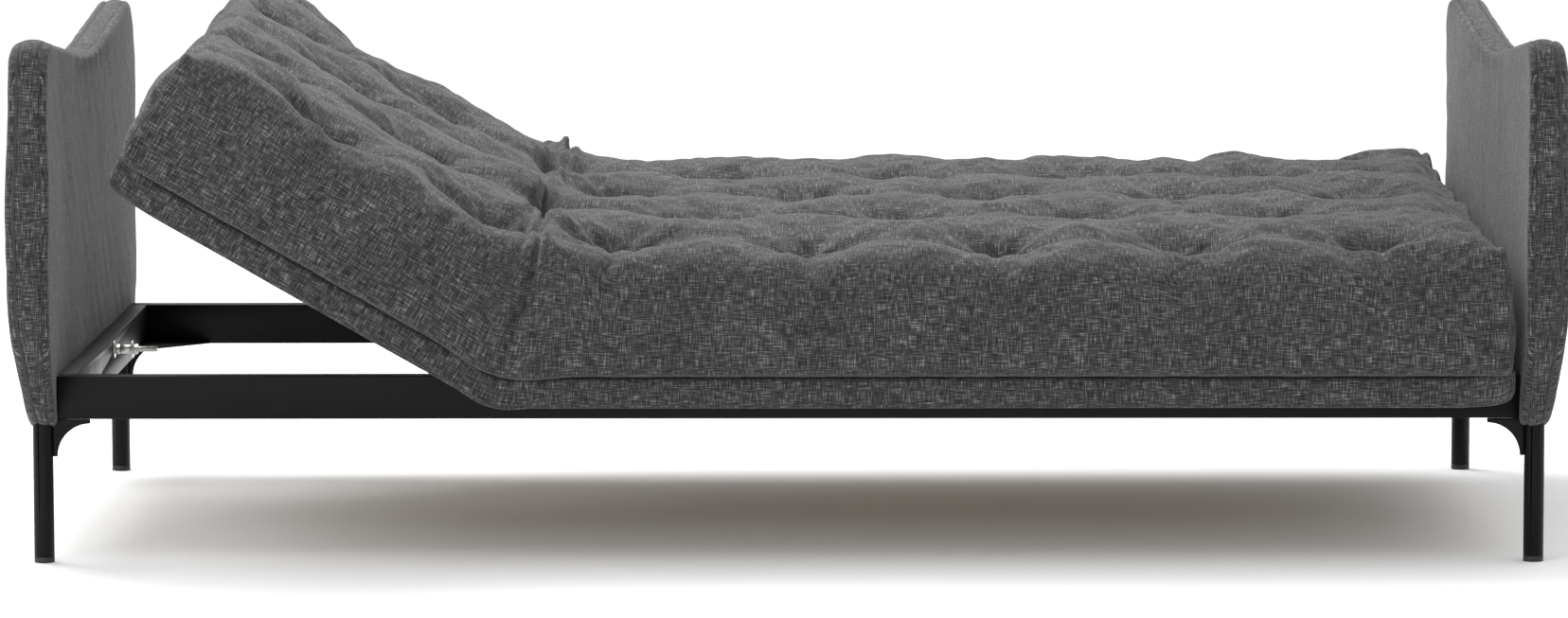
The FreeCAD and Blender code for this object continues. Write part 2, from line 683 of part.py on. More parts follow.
def side_cover(section, depth):
    """The covering of a long board: its outer face, underside and free end."""
    x, length = run(section, from_axis(section, "fold_gap"), TRAY_END)
    y = low_end(BOARD_INNER, depth, "board_thickness + cover_thickness")
    whole = box((length, "board_thickness + cover_thickness", "skirt_height"), (x, y, 0))
    inner_x, inner_length = run(section, from_axis(section, "fold_gap - 1"), BOARD_END)
    inner_y = low_end(f"{BOARD_INNER} - 1", depth, "board_thickness + 1")
    room = box((inner_length, "board_thickness + 1", "skirt_height"),
               (inner_x, inner_y, "cover_thickness"))
    return cut(whole, room)


# ---------------------------------------------------------------- hinge fittings

FIXED_BACK = f"({BOARD_INNER} - plate_thickness)"
MOVING_FACE = f"({BOARD_INNER} - plate_thickness - hinge_play)"
MOVING_BACK = f"({BOARD_INNER} - 2 * plate_thickness - hinge_play)"
STRAP_TOP = "(skirt_height - hinge_strap_drop)"
PIN_HOLE = "hinge_pin_diameter + 2 * hinge_pin_play"


def on_axis(depth, diameter, outer, length):
    """A cylinder on the tilt axis that runs inwards from a distance out on one side."""
    y = low_end(f"{outer} - ({length})", depth, length)
    return cylinder(diameter, length, ("pivot_x", y, "skirt_height"), Y_AXIS)


def strap_screws(section, depth, diameter):
    """Cylinders on the two screw axes of a hinge strap, from its inner face into the board."""
    face = MOVING_BACK if section < 0 else FIXED_BACK
    length = f"({BOARD_INNER} + screw_length - {face})"
    y = low_end(face, depth, length)
    height = f"{STRAP_TOP} - hinge_strap_width / 2"
    made = []
    for distance in ("screw_first", "(screw_first + screw_pitch)"):
        x = f"pivot_x + {section} * {distance}"
        made.append(cylinder(diameter, length, (x, y, height), Y_AXIS))
    return made


def strap(section, depth, outer):
    """A hinge leaf: a strap with a round end on the tilt axis."""
    x, length = run(section, from_axis(section, 0), from_axis(section, "hinge_strap"))
    y = low_end(f"{outer} - plate_thickness", depth, "plate_thickness")
    bar = box((length, "plate_thickness", "hinge_strap_width"),
              (x, y, f"{STRAP_TOP} - hinge_strap_width"))
    ear = on_axis(depth, "2 * hinge_ear", outer, "plate_thickness")
    bore = on_axis(depth, PIN_HOLE, f"{outer} + 1", "plate_thickness + 2")
    holes = strap_screws(section, depth, "screw_diameter + 2 * thread_clearance")
    return cut(fuse(bar, ear), bore, *holes)


def screws(section):
    """The screws of both straps of a section."""
    return [one for _, depth in NEAR_FAR for one in strap_screws(section, depth, "screw_diameter")]


def spacer_rings():
    """Rings that fill the step between the head's boards and its straps."""
    made = []
    for _, depth in NEAR_FAR:
        y = low_end(MOVING_FACE, depth, f"{BOARD_INNER} - {MOVING_FACE}")
        for distance in ("screw_first", "(screw_first + screw_pitch)"):
            at = (f"pivot_x - {distance}", y, f"{STRAP_TOP} - hinge_strap_width / 2")
            made.append(cylinder("spacer_ring", f"{BOARD_INNER} - {MOVING_FACE}", at, Y_AXIS))
    holes = [one for _, depth in NEAR_FAR
             for one in strap_screws(-1, depth, "screw_diameter + 2 * thread_clearance")]
    return cut(group(*made), *holes)


def hinge_pin(depth):
    """A headed pin through both leaves and the ratchet housing."""
    reach = "2 * plate_thickness + 2 * hinge_play + housing_depth"
    shank = on_axis(depth, "hinge_pin_diameter", BOARD_INNER, reach)
    head = on_axis(depth, "hinge_pin_head", f"{BOARD_INNER} + plate_thickness", "plate_thickness")
    return fuse(shank, head)


def ratchet_housing(depth):
    """The closed round housing on the tilt axis, bored for the pin."""
    outer = f"{MOVING_BACK} - hinge_play"
    body = on_axis(depth, "2 * hinge_ear", outer, "housing_depth")
    return cut(body, on_axis(depth, PIN_HOLE, f"{outer} + 1", "housing_depth + 2"))


def fold_web(depth):
    """The slack covering that spans the open fold between the two sections' side covers."""
    edge = "(fold_gap - 2 * hinge_play)"
    rise, reach = "sin(tilt_rest)", "cos(tilt_rest)"
    points = [(f"pivot_x + {edge}", 0), (f"pivot_x + {edge}", "skirt_height"),
              (f"pivot_x - {edge} * {reach}", f"skirt_height + {edge} * {rise}"),
              (f"pivot_x - {edge} * {reach} - skirt_height * {rise}",
               f"skirt_height + {edge} * {rise} - skirt_height * {reach}")]
    lift = f"-{depth} * {BOARD_BACK}"
    body = doc.addObject("PartDesign::Body", "Web")
    pad(body, outline(body, "XZ_Plane", points, lift), "cover_thickness", reverse=depth > 0)
    return body


SECTIONS = (("seat", 1, seat_frame), ("head", -1, head_frame))
for word, section, frame in SECTIONS:
    for depth_word, depth in NEAR_FAR:
        board = carry(side_board(section, depth), frame)
        node(board, f"{word}_board_{depth_word}")
        node(carry(side_cover(section, depth), frame), f"{word}_cover_{depth_word}")
    end_start = f"{CROSS_END} - board_thickness"
    node(carry(cross_board(section, end_start, "0"), frame), f"{word}_board_end")
    fold_start = from_axis(section, "fold_gap")
    node(carry(cross_board(section, fold_start, "hinge_room"), frame), f"{word}_board_fold")
    node(carry(batten(section), frame), f"{word}_batten")
    node(carry(group(*slats(section)), frame), f"{word}_slats")
    node(carry(nose(section), frame), f"{word}_nose")
    node(carry(group(*screws(section)), frame), f"{word}_hinge_screws")

leaves = ((1, FIXED_BACK + " + plate_thickness", "hinge_fixed_straps", seat_frame),
          (-1, MOVING_FACE, "hinge_moving_straps", head_frame))
for section, outer, name, frame in leaves:
    straps = [strap(section, depth, outer) for _, depth in NEAR_FAR]
    node(carry(group(*straps), frame), name)
node(carry(spacer_rings(), head_frame), "hinge_spacers")
node(carry(group(*[hinge_pin(depth) for _, depth in NEAR_FAR]), seat_frame), "hinge_pins")
node(carry(group(*[ratchet_housing(depth) for _, depth in NEAR_FAR]), seat_frame),
     "hinge_housings")
node(carry(group(*[fold_web(depth) for _, depth in NEAR_FAR]), seat_frame), "fold_webs")


# ---------------------------------------------------------------- supports on the rails


def support_places():
    """Middles along the bed of the slats that carry the supports: near the ends and halfway."""
    places = slat_places(1)
    chosen = (places[1], places[len(places) // 2], places[-2])
    return [f"({start} + slat_width / 2)" for start in chosen]


def buffer(middle):
    """A thin buffer on the near rail under a slat."""
    size = ("buffer_length", "buffer_width", "tray_clearance - support_clearance")
    return box(size, (f"{middle} - buffer_length / 2",
                      "-(rail_spread - rail_width + buffer_width) / 2", RAIL_TOP))


def support_block(middle):
    """A block on the far rail up to a slat's underside."""
    underside = f"({TRAY_HEIGHT} + {RAIL_FACE} * tan({ROLL}) + skirt_height / cos({ROLL}))"
    size = ("block_width", "rail_width", f"{underside} - {RAIL_TOP} - support_clearance")
    return box(size, (f"{middle} - block_width / 2", RAIL_FACE, RAIL_TOP))


node(group(*[buffer(middle) for middle in support_places()]), "tray_buffers")
node(group(*[support_block(middle) for middle in support_places()]), "tray_blocks")


# ---------------------------------------------------------------- mattress

HALF_TILT = "(tilt_max / 2)"
BED = "(skirt_height + slat_thickness + mattress_lift)"
CREST = f"({BED} + mattress_thickness)"
MATTRESS_END = f"({TRAY_END} + mattress_end)"
MATTRESS_SIDE = f"({TRAY_SIDE} + mattress_side)"


def leaning(height, angle):
    """How far a face through the tilt axis has leaned at a height."""
    return f"({height} - skirt_height) * tan({angle})"


def mattress(section):
    """One section of the mattress, mitred at the fold so that the highest tilt just closes it."""
    far_end = f"{section} * {MATTRESS_END}"
    points = [(f"pivot_x + {section} * (mattress_gap + {leaning(BED, HALF_TILT)})", BED),
              (far_end, BED), (far_end, CREST),
              (f"pivot_x + {section} * (mattress_gap + {leaning(CREST, HALF_TILT)})", CREST)]
    body = prism_body("XZ_Plane", points, f"2 * {MATTRESS_SIDE}", both_ways=True)
    reach = value_of(MATTRESS_END)

    def upright_corner(edge):
        return all(abs(abs(point.Point.x) - reach) < 0.01 for point in edge.Vertexes) \
            and edge.Length < value_of(MATTRESS_SIDE)

    fillet(body, upright_corner, "mattress_corner")
    return body


def mattress_fold():
    """The squeezed middle of the mattress between the two mitres, as the rest tilt leaves it."""
    low, high = f"({BED} + mattress_thickness / 6)", f"({CREST} - mattress_thickness / 8)"
    head_lean = "(tilt_rest - tilt_max / 2)"
    head_gap, seat_gap = "mattress_gap", "(mattress_gap / 2)"
    points = [(f"pivot_x + {head_gap} + {leaning(low, head_lean)}", low),
              (f"pivot_x + {leaning(low, HALF_TILT)} + {seat_gap}", low),
              (f"pivot_x + {leaning(high, HALF_TILT)} + {seat_gap}", high),
              (f"pivot_x + {head_gap} + {leaning(high, head_lean)}", high)]
    return prism_body("XZ_Plane", points, f"2 * {MATTRESS_SIDE} - 2 * mattress_corner",
                      both_ways=True)


node(carry(mattress(1), seat_frame), "mattress_seat")
node(carry(mattress(-1), head_frame), "mattress_head")
node(carry(mattress_fold(), seat_frame), "mattress_fold")


# ---------------------------------------------------------------- checks and export

doc.recompute()
for item in doc.Objects:
    if {"Invalid", "Error"} & set(item.State):
        raise RuntimeError(f"{item.Name} ({item.Label}) is {item.State}")
for item in nodes:
    if item.Shape.isNull() or not item.Shape.isValid() or not item.Shape.Solids:
        raise RuntimeError(f"{item.Label} has no valid solid")

os.makedirs("parts", exist_ok=True)
for item in nodes:
    item.Shape.exportStep(f"parts/{item.Label}.step")
print(len(nodes), "sub-parts written")
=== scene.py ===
"""A sofa bed laid flat: a tufted futon on a slatted tray with a tilting head, between two arms.

Lengths are metres. X runs along the bed, Y across it, Z up. Angles are radians unless a name
ends in _degrees.
"""
import json
import logging
import math
from dataclasses import dataclass
from enum import Enum

import bpy
import numpy as np
from mathutils import Matrix, Vector


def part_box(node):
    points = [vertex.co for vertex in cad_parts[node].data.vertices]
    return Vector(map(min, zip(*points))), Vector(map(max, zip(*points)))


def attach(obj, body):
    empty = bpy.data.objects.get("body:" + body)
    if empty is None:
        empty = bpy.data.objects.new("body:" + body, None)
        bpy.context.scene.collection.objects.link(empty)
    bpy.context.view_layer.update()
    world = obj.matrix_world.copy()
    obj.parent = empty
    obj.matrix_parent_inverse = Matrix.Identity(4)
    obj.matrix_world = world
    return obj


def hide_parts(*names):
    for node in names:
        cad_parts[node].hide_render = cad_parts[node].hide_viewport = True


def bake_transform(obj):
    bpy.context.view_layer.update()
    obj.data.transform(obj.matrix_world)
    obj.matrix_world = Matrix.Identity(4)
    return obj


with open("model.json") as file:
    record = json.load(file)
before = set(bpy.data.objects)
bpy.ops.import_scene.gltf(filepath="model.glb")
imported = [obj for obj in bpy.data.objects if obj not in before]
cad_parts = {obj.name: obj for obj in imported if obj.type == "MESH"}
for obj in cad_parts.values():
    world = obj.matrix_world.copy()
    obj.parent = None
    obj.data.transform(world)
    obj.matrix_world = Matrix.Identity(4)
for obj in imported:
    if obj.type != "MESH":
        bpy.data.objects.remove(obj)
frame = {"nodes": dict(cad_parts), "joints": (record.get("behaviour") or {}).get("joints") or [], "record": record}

LOG = logging.getLogger("sofa_bed")
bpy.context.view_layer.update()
MILLI = 0.001
WAVE_PERIOD = 0.314  # length of one band of a Wave texture of scale 1
WELD_GAP = 0.02 * MILLI
SHARP_DEGREES = 35


class Slot(Enum):
    """The finishes that the record names."""

    STEEL = "powder_coat"
    FABRIC = "charcoal_fabric"
    TIMBER = "timber"
    ZINC = "zinc"
    PLASTIC = "black_plastic"


# --- tools for meshes


def smoothstep(value: np.ndarray) -> np.ndarray:
    """s = t²(3 − 2t), with t the value kept between 0 and 1.

    Args:
        value: the input, any shape.

    Returns:
        An array of the same shape, from 0 to 1.
    """
    t = np.clip(value, 0.0, 1.0)
    return t * t * (3.0 - 2.0 * t)


def bell(distance: np.ndarray, width: float) -> np.ndarray:
    """g = exp(−(d / width)²), a soft hollow or hill.

    Args:
        distance: distance from the middle.
        width: where the bell falls to about a third.

    Returns:
        The bell's height, 1 in the middle.
    """
    return np.exp(-(distance / width) ** 2)


def ripples(points: np.ndarray, wavelength: float, seed: int, waves: int = 9) -> np.ndarray:
    """Smooth unevenness: the mean of sin(k·p + phase) over waves in seeded directions.

    Args:
        points: positions, (n, 3).
        wavelength: the mean length of a wave.
        seed: seed of the directions and phases.
        waves: how many waves are added.

    Returns:
        One value for each point, mostly between −1 and 1.
    """
    random = np.random.default_rng(seed)
    direction = random.normal(size=(waves, 3))
    direction /= np.linalg.norm(direction, axis=1, keepdims=True)
    number = 2 * math.pi / (wavelength * random.uniform(0.6, 1.6, waves))
    phase = random.uniform(0, 2 * math.pi, waves)
    return np.sin(points @ (direction * number[:, None]).T + phase).sum(axis=1) / math.sqrt(waves)


def rounded_outline(corners: np.ndarray, radii: np.ndarray, count: int) -> np.ndarray:
    """A closed outline of straight runs and arcs, walked at an even pace.

    Each corner turns by an angle f; its arc of radius r starts and ends r·tan(f / 2) from it.

    Args:
        corners: (n, 2) corner points, anticlockwise.
        radii: (n,) radius of each corner.
        count: points on the outline.

    Returns:
        (count, 2) points, evenly spaced along the outline.
    """
    before = corners - np.roll(corners, 1, axis=0)
    before /= np.linalg.norm(before, axis=1, keepdims=True)
    after = np.roll(before, -1, axis=0)
    turn = np.arctan2(before[:, 0] * after[:, 1] - before[:, 1] * after[:, 0],
                      (before * after).sum(axis=1))
    start = corners - before * (radii * np.tan(np.abs(turn) / 2))[:, None]
    normal = np.stack([-before[:, 1], before[:, 0]], axis=1) * np.sign(turn)[:, None]
    centre = start + normal * radii[:, None]
    angle = turn[:, None] * np.linspace(0, 1, 17)
    spoke = (start - centre)[:, None, :]
    swept = np.stack([spoke[..., 0] * np.cos(angle) - spoke[..., 1] * np.sin(angle),
                      spoke[..., 0] * np.sin(angle) + spoke[..., 1] * np.cos(angle)], axis=2)
    path = (centre[:, None, :] + swept).reshape(-1, 2)
    path = np.vstack([path, path[:1]])
    travelled = np.concatenate([[0], np.cumsum(np.linalg.norm(np.diff(path, axis=0), axis=1))])
    at = np.linspace(0, travelled[-1], count, endpoint=False)
    return np.stack([np.interp(at, travelled, path[:, i]) for i in range(2)], axis=1)


def outward(outline: np.ndarray) -> np.ndarray:
    """Unit normals of a closed anticlockwise outline: the tangent (y, z) turned to (z, −y).

    Args:
        outline: (n, 2) points.

    Returns:
        (n, 2) unit normals that point out of the outline.
    """
    tangent = np.roll(outline, -1, axis=0) - np.roll(outline, 1, axis=0)
    normal = np.stack([tangent[:, 1], -tangent[:, 0]], axis=1)
    return normal / np.linalg.norm(normal, axis=1, keepdims=True)


def build(name: str, points: np.ndarray, groups: list[tuple[np.ndarray, np.ndarray]]
          ) -> bpy.types.Object:
    """Makes a smooth mesh object from faces and their UVs, with its faces turned outwards.

    The enclosed volume, the sum of v0·(v1 × v2) / 6 over the triangles, decides the winding.

    Args:
        name: the object's name.
        points: (n, 3) vertices.
        groups: pairs of an (m, k) array of vertex numbers and an (m, k, 2) array of UVs.

    Returns:
        The object, linked to the scene.
    """
    volume = 0.0
    for faces, _ in groups:
        for i in range(1, faces.shape[1] - 1):
            a, b, c = (points[faces[:, j]] for j in (0, i, i + 1))
            volume += (a * np.cross(b, c)).sum()
    if volume < 0:
        groups = [(faces[:, ::-1], uv[:, ::-1]) for faces, uv in groups]
    mesh = bpy.data.meshes.new(name)
    mesh.from_pydata(points, [], [row for faces, _ in groups for row in faces.tolist()])
    layer = mesh.uv_layers.new(name="UVMap")
    layer.data.foreach_set("uv", np.concatenate([uv.reshape(-1) for _, uv in groups]))
    mesh.polygons.foreach_set("use_smooth", np.ones(len(mesh.polygons), bool))
    mesh.update()
    made = bpy.data.objects.new(name, mesh)
    bpy.context.scene.collection.objects.link(made)
    return made


def loft(name: str, rings: np.ndarray, uv: np.ndarray) -> bpy.types.Object:
    """A closed skin over a row of closed rings, with a point at each end.

    Args:
        name: the object's name.
        rings: (r, n, 3) points; ring by ring, each ring closed.
        uv: (r, n + 1, 2) UVs; the last column closes the ring.

    Returns:
        The object.
    """
    count, around = rings.shape[:2]
    points = np.vstack([rings.reshape(-1, 3), rings[0].mean(axis=0), rings[-1].mean(axis=0)])
    row, column = np.meshgrid(np.arange(count - 1), np.arange(around), indexing="ij")
    step = (column + 1) % around
    quads = np.stack([row * around + column, row * around + step, (row + 1) * around + step,
                      (row + 1) * around + column], axis=-1).reshape(-1, 4)
    quad_uv = np.stack([uv[:-1, :-1], uv[:-1, 1:], uv[1:, 1:], uv[1:, :-1]], axis=2)
    groups = [(quads, quad_uv.reshape(-1, 4, 2))]
    at = np.arange(around)
    for pole, ring, order in ((0, 0, (0, 2, 1)), (1, count - 1, (0, 1, 2))):
        fan = np.stack([np.full(around, count * around + pole), ring * around + at,
                        ring * around + (at + 1) % around], axis=1)
        middle = np.broadcast_to(uv[ring].mean(axis=0), (around, 2))
        fan_uv = np.stack([middle, uv[ring, :-1], uv[ring, 1:]], axis=1)
        groups.append((fan[:, order], fan_uv[:, order]))
    return build(name, points, groups)


def read(vectors: bpy.types.bpy_prop_collection, field: str = "co") -> np.ndarray:
    """Reads one field of a collection of vectors as an (n, 3) array."""
    flat = np.empty(len(vectors) * 3, np.float32)
    vectors.foreach_get(field, flat)
    return flat.reshape(-1, 3).astype(float)


def write(vectors: bpy.types.bpy_prop_collection, values: np.ndarray, field: str = "co") -> None:
    """Writes an (n, 3) array over one field of a collection of vectors."""
    vectors.foreach_set(field, values.astype(np.float32).reshape(-1))


def subdivide(piece: bpy.types.Object, levels: int) -> None:
    """Subdivides a piece for good, by Catmull and Clark's rule."""
    modifier = piece.modifiers.new("Subdivision", "SUBSURF")
    modifier.levels = modifier.render_levels = levels
    with bpy.context.temp_override(object=piece, active_object=piece):
        bpy.ops.object.modifier_apply(modifier=modifier.name)


# --- finishes


class Nodes:
    """Adds and links the nodes of one tree."""

    def __init__(self, tree: bpy.types.NodeTree) -> None:
        """Takes the tree that is added to.

        Args:
            tree: a material's or a world's node tree.
        """
        self.tree = tree

    def add(self, kind: str, **inputs: object) -> bpy.types.Node:
        """Adds a node and fills its inputs; a socket is linked and a plain value is set.

        Args:
            kind: the node's type without its ShaderNode prefix.
            **inputs: properties in lower case, or inputs with their first letter upper case and
                underscores for spaces.

        Returns:
            The node.
        """
        node = self.tree.nodes.new("ShaderNode" + kind)
        for key, value in inputs.items():
            if key[0].islower():
                setattr(node, key, value)
            else:
                self.feed(node.inputs[key.replace("_", " ")], value)
        return node

    def feed(self, socket: bpy.types.NodeSocket, value: object) -> None:
        """Links a socket to an input, or sets the input's own value."""
        if isinstance(value, bpy.types.NodeSocket):
            self.tree.links.new(value, socket)
        else:
            socket.default_value = value

    def math(self, operation: str, first: object, second: object) -> bpy.types.NodeSocket:
        """Adds a Math node and returns its output."""
        node = self.tree.nodes.new("ShaderNodeMath")
        node.operation = operation
        self.feed(node.inputs[0], first)
        self.feed(node.inputs[1], second)
        return node.outputs[0]


class Recipe(Nodes):
    """Builds one procedural material node by node."""

    def __init__(self, name: str) -> None:
        """Starts a material with a Principled shader.

        Args:
            name: the material's name.
        """
        self.material = bpy.data.materials.new(name)
        self.material.use_nodes = True
        super().__init__(self.material.node_tree)
        self.shader = self.tree.nodes["Principled BSDF"]

    def ramp(self, factor: bpy.types.NodeSocket, stops: list[tuple[float, tuple]]
             ) -> bpy.types.NodeSocket:
        """Adds a colour ramp.

        Args:
            factor: what the ramp reads.
            stops: pairs of a place and a colour of three numbers.

        Returns:
            The colour output.
        """
        node = self.add("ValToRGB", Fac=factor)
        while len(node.color_ramp.elements) < len(stops):
            node.color_ramp.elements.new(0.5)
        for element, (place, colour) in zip(node.color_ramp.elements, stops):
            element.position, element.color = place, (*colour, 1.0)
        return node.outputs["Color"]

    def noise(self, where: bpy.types.NodeSocket, scale: tuple[float, float, float],
              detail: float) -> bpy.types.NodeSocket:
        """Adds noise with its own scale on each axis, in cells for each metre."""
        mapping = self.add("Mapping", Vector=where, Scale=scale)
        return self.add("TexNoise", Vector=mapping.outputs[0], Scale=1.0,
                        Detail=detail).outputs["Fac"]

    def bump(self, height: bpy.types.NodeSocket, distance: float, strength: float,
             below: bpy.types.NodeSocket | None = None) -> bpy.types.NodeSocket:
        """Adds a bump of a given height in metres, over another where one is given."""
        node = self.add("Bump", Height=height, Distance=distance, Strength=strength)
        if below is not None:
            self.feed(node.inputs["Normal"], below)
        return node.outputs["Normal"]

    def finish(self, **inputs: object) -> bpy.types.Material:
        """Fills the shader's inputs, named as in add, and returns the material."""
        for key, value in inputs.items():
            self.feed(self.shader.inputs[key.replace("_", " ")], value)
        return self.material


@dataclass(frozen=True)
class Melange:
    """Linen-look cloth: threads both ways, each with lighter and darker slubs."""

    dark: tuple = (0.012, 0.012, 0.0122)
    middle: tuple = (0.033, 0.033, 0.0335)
    pale: tuple = (0.078, 0.078, 0.079)
    slub: tuple = (0.24, 0.24, 0.24)
    stops: tuple = (0.42, 0.495, 0.55, 0.625)
    thread: float = 0.0010
    slub_length: float = 0.014
    coarser: float = 1.6
    patchiness: float = 0.06
    weave_height: float = 0.0004
    thread_height: float = 0.0009

    def make(self) -> bpy.types.Material:
        """Mixes two stretched noises, one for each thread direction, through one ramp."""
        recipe = Recipe(Slot.FABRIC.value)
        uv = recipe.add("UVMap", uv_map="UVMap").outputs[0]
        along, across = 1 / self.slub_length, 1 / self.thread
        warp = recipe.noise(uv, (along, across, 1), 2.5)
        weft = recipe.noise(uv, (across, along, 1), 2.5)
        threads = recipe.math("MAXIMUM", warp, weft)
        long, short = along / self.coarser, across / self.coarser
        coarse = [recipe.noise(uv, scale, 1) for scale in ((long, short, 1), (short, long, 1))]
        fine = recipe.math("MULTIPLY", recipe.math("ADD", warp, weft), 0.5)
        slubs = recipe.math("MULTIPLY", recipe.math("ADD", *coarse), 0.5)
        spread = recipe.math("ADD", recipe.math("MULTIPLY", fine, 0.5),
                             recipe.math("MULTIPLY", slubs, 0.5))
        patches = recipe.noise(uv, (9, 9, 1), 3)
        shift = recipe.math("MULTIPLY", recipe.math("SUBTRACT", patches, 0.5), self.patchiness)
        tone = recipe.math("ADD", spread, shift)
        tones = (self.dark, self.middle, self.pale, self.slub)
        colour = recipe.ramp(tone, list(zip(self.stops, tones)))
        weave = WAVE_PERIOD / (2 * self.thread)
        bands = [recipe.add("TexWave", Vector=uv, wave_type="BANDS", bands_direction=axis,
                            Scale=weave, Distortion=1.5, Detail=1.0).outputs["Fac"]
                 for axis in ("X", "Y")]
        cloth = recipe.bump(recipe.math("MULTIPLY", *bands), self.weave_height, 0.35)
        normal = recipe.bump(threads, self.thread_height, 0.55, cloth)
        return recipe.finish(Base_Color=colour, Roughness=0.92, Sheen_Weight=0.18,
                             Sheen_Roughness=0.45, Specular_IOR_Level=0.25, Normal=normal)


@dataclass(frozen=True)
class Coat:
    """A hard finish: one noise clouds its colour and roughness, and a grain lies in its bump.

    A noise is given as its cells for each metre and its detail; without a grain of its own the
    bump follows the clouds. One stop alone is an even colour.
    """

    slot: Slot
    stops: tuple
    cloud: tuple
    roughness: tuple
    relief: tuple
    grain: tuple = ()
    shine: tuple = ()

    def make(self) -> bpy.types.Material:
        """Reads both noises from the object's own coordinates."""
        recipe = Recipe(self.slot.value)
        where = recipe.add("TexCoord").outputs["Object"]
        cells, detail = self.cloud
        cloud = recipe.noise(where, (cells,) * 3, detail)
        grain = cloud
        if self.grain:
            cells, detail = self.grain
            grain = recipe.noise(where, (cells,) * 3, detail)
        colour = (*self.stops[0][1], 1)
        if len(self.stops) > 1:
            colour = recipe.ramp(cloud, self.stops)
        low, high = self.roughness
        rough = recipe.add("MapRange", Value=cloud, To_Min=low, To_Max=high).outputs[0]
        return recipe.finish(Base_Color=colour, Roughness=rough,
                             Normal=recipe.bump(grain, *self.relief), **dict(self.shine))


POWDER_COAT = Coat(Slot.STEEL, ((0.35, (0.0018, 0.0018, 0.0019)), (0.75, (0.0036, 0.0036, 0.0038))),
                   cloud=(14, 4), roughness=(0.34, 0.5), relief=(0.0002, 0.4), grain=(900, 1),
                   shine=(("Specular_IOR_Level", 0.15),))
ZINC_PLATE = Coat(Slot.ZINC, ((0.3, (0.496, 0.496, 0.48)), (0.7, (0.62, 0.62, 0.60))),
                  cloud=(240, 3), roughness=(0.2, 0.42), relief=(0.0001, 0.2),
                  shine=(("Metallic", 1.0),))
BLACK_PLASTIC = Coat(Slot.PLASTIC, ((0.0, (0.014, 0.014, 0.014)),), cloud=(700, 2),
                     roughness=(0.42, 0.6), relief=(0.0002, 0.3))


@dataclass(frozen=True)
class Timber:
    """Pale softwood, its grain along the bed or across it."""

    early: tuple = (0.50, 0.405, 0.285)
    late: tuple = (0.30, 0.22, 0.14)
    along_x: bool = True

    def make(self) -> bpy.types.Material:
        """Stretched noise for the rings and finer, longer noise for the fibres."""
        recipe = Recipe(Slot.TIMBER.value + ("_long" if self.along_x else "_cross"))
        where = recipe.add("TexCoord").outputs["Object"]
        rings = (2.2, 55, 55) if self.along_x else (55, 2.2, 55)
        fibre = (14, 900, 900) if self.along_x else (900, 14, 900)
        ring = recipe.noise(where, rings, 5)
        fine = recipe.noise(where, fibre, 3)
        tone = recipe.math("ADD", recipe.math("MULTIPLY", ring, 0.8),
                           recipe.math("MULTIPLY", fine, 0.2))
        colour = recipe.ramp(tone, [(0.38, self.early), (0.62, self.late)])
        return recipe.finish(Base_Color=colour, Roughness=0.62,
                             Normal=recipe.bump(fine, 0.0003, 0.3))


# --- the tray's own axes


@dataclass(frozen=True)
class TrayAxes:
    """The tray lies slightly rolled, and its head section is raised at rest.

    Local coordinates are (a, b, c) of the flat tray: a along the bed from the tilt axis, b along
    that axis, c square to both.
    """

    pivot: np.ndarray
    across: np.ndarray
    tilt: float

    @classmethod
    def of(cls, joint: dict) -> "TrayAxes":
        """Reads the axes from the headrest's joint; its lower limit is the flat bed."""
        axis = np.array(joint["axis"], float)
        return cls(np.array(joint["pos_m"], float), axis / np.linalg.norm(axis),
                   math.radians(-joint["range_deg"][0]))

    def world(self, local: np.ndarray) -> np.ndarray:
        """p = pivot + a·x + b·across + c·up, where up = x × across.

        Args:
            local: (…, 3) local coordinates.

        Returns:
            (…, 3) points of the flat bed.
        """
        along = np.array([1.0, 0.0, 0.0])
        up = np.cross(along, self.across)
        return self.pivot + local @ np.stack([along, self.across, up])

    def raised(self, local: np.ndarray, zone: tuple[float, float]) -> np.ndarray:
        """The same points with the head section raised.

        Each point turns about the tilt axis by q = tilt·(1 − smoothstep((a − start)/(end −
        start))): a' = a·cos q + c·sin q and c' = c·cos q − a·sin q.

        Args:
            local: (…, 3) local coordinates of the flat bed.
            zone: start and end of the bend, along a.

        Returns:
            (…, 3) points of the bed at rest.
        """
        angle = self.tilt * (1 - smoothstep((local[..., 0] - zone[0]) / (zone[1] - zone[0])))
        a, b, c = np.moveaxis(local, -1, 0)
        turned = np.stack([a * np.cos(angle) + c * np.sin(angle), b,
                           c * np.cos(angle) - a * np.sin(angle)], axis=-1)
        return self.world(turned)

    def blend(self, piece: bpy.types.Object, half_zone: float) -> None:
        """Bakes a piece's placement into its mesh; the two points half a zone either side of the fold's middle,
        square to it, are worked out and not used.
        """
        half = self.tilt / 2
        reach = half_zone * np.array([math.cos(half), 0.0, -math.sin(half)])
        tuple(self.world(-reach))
        tuple(self.world(reach))
        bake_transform(piece)


# --- futon


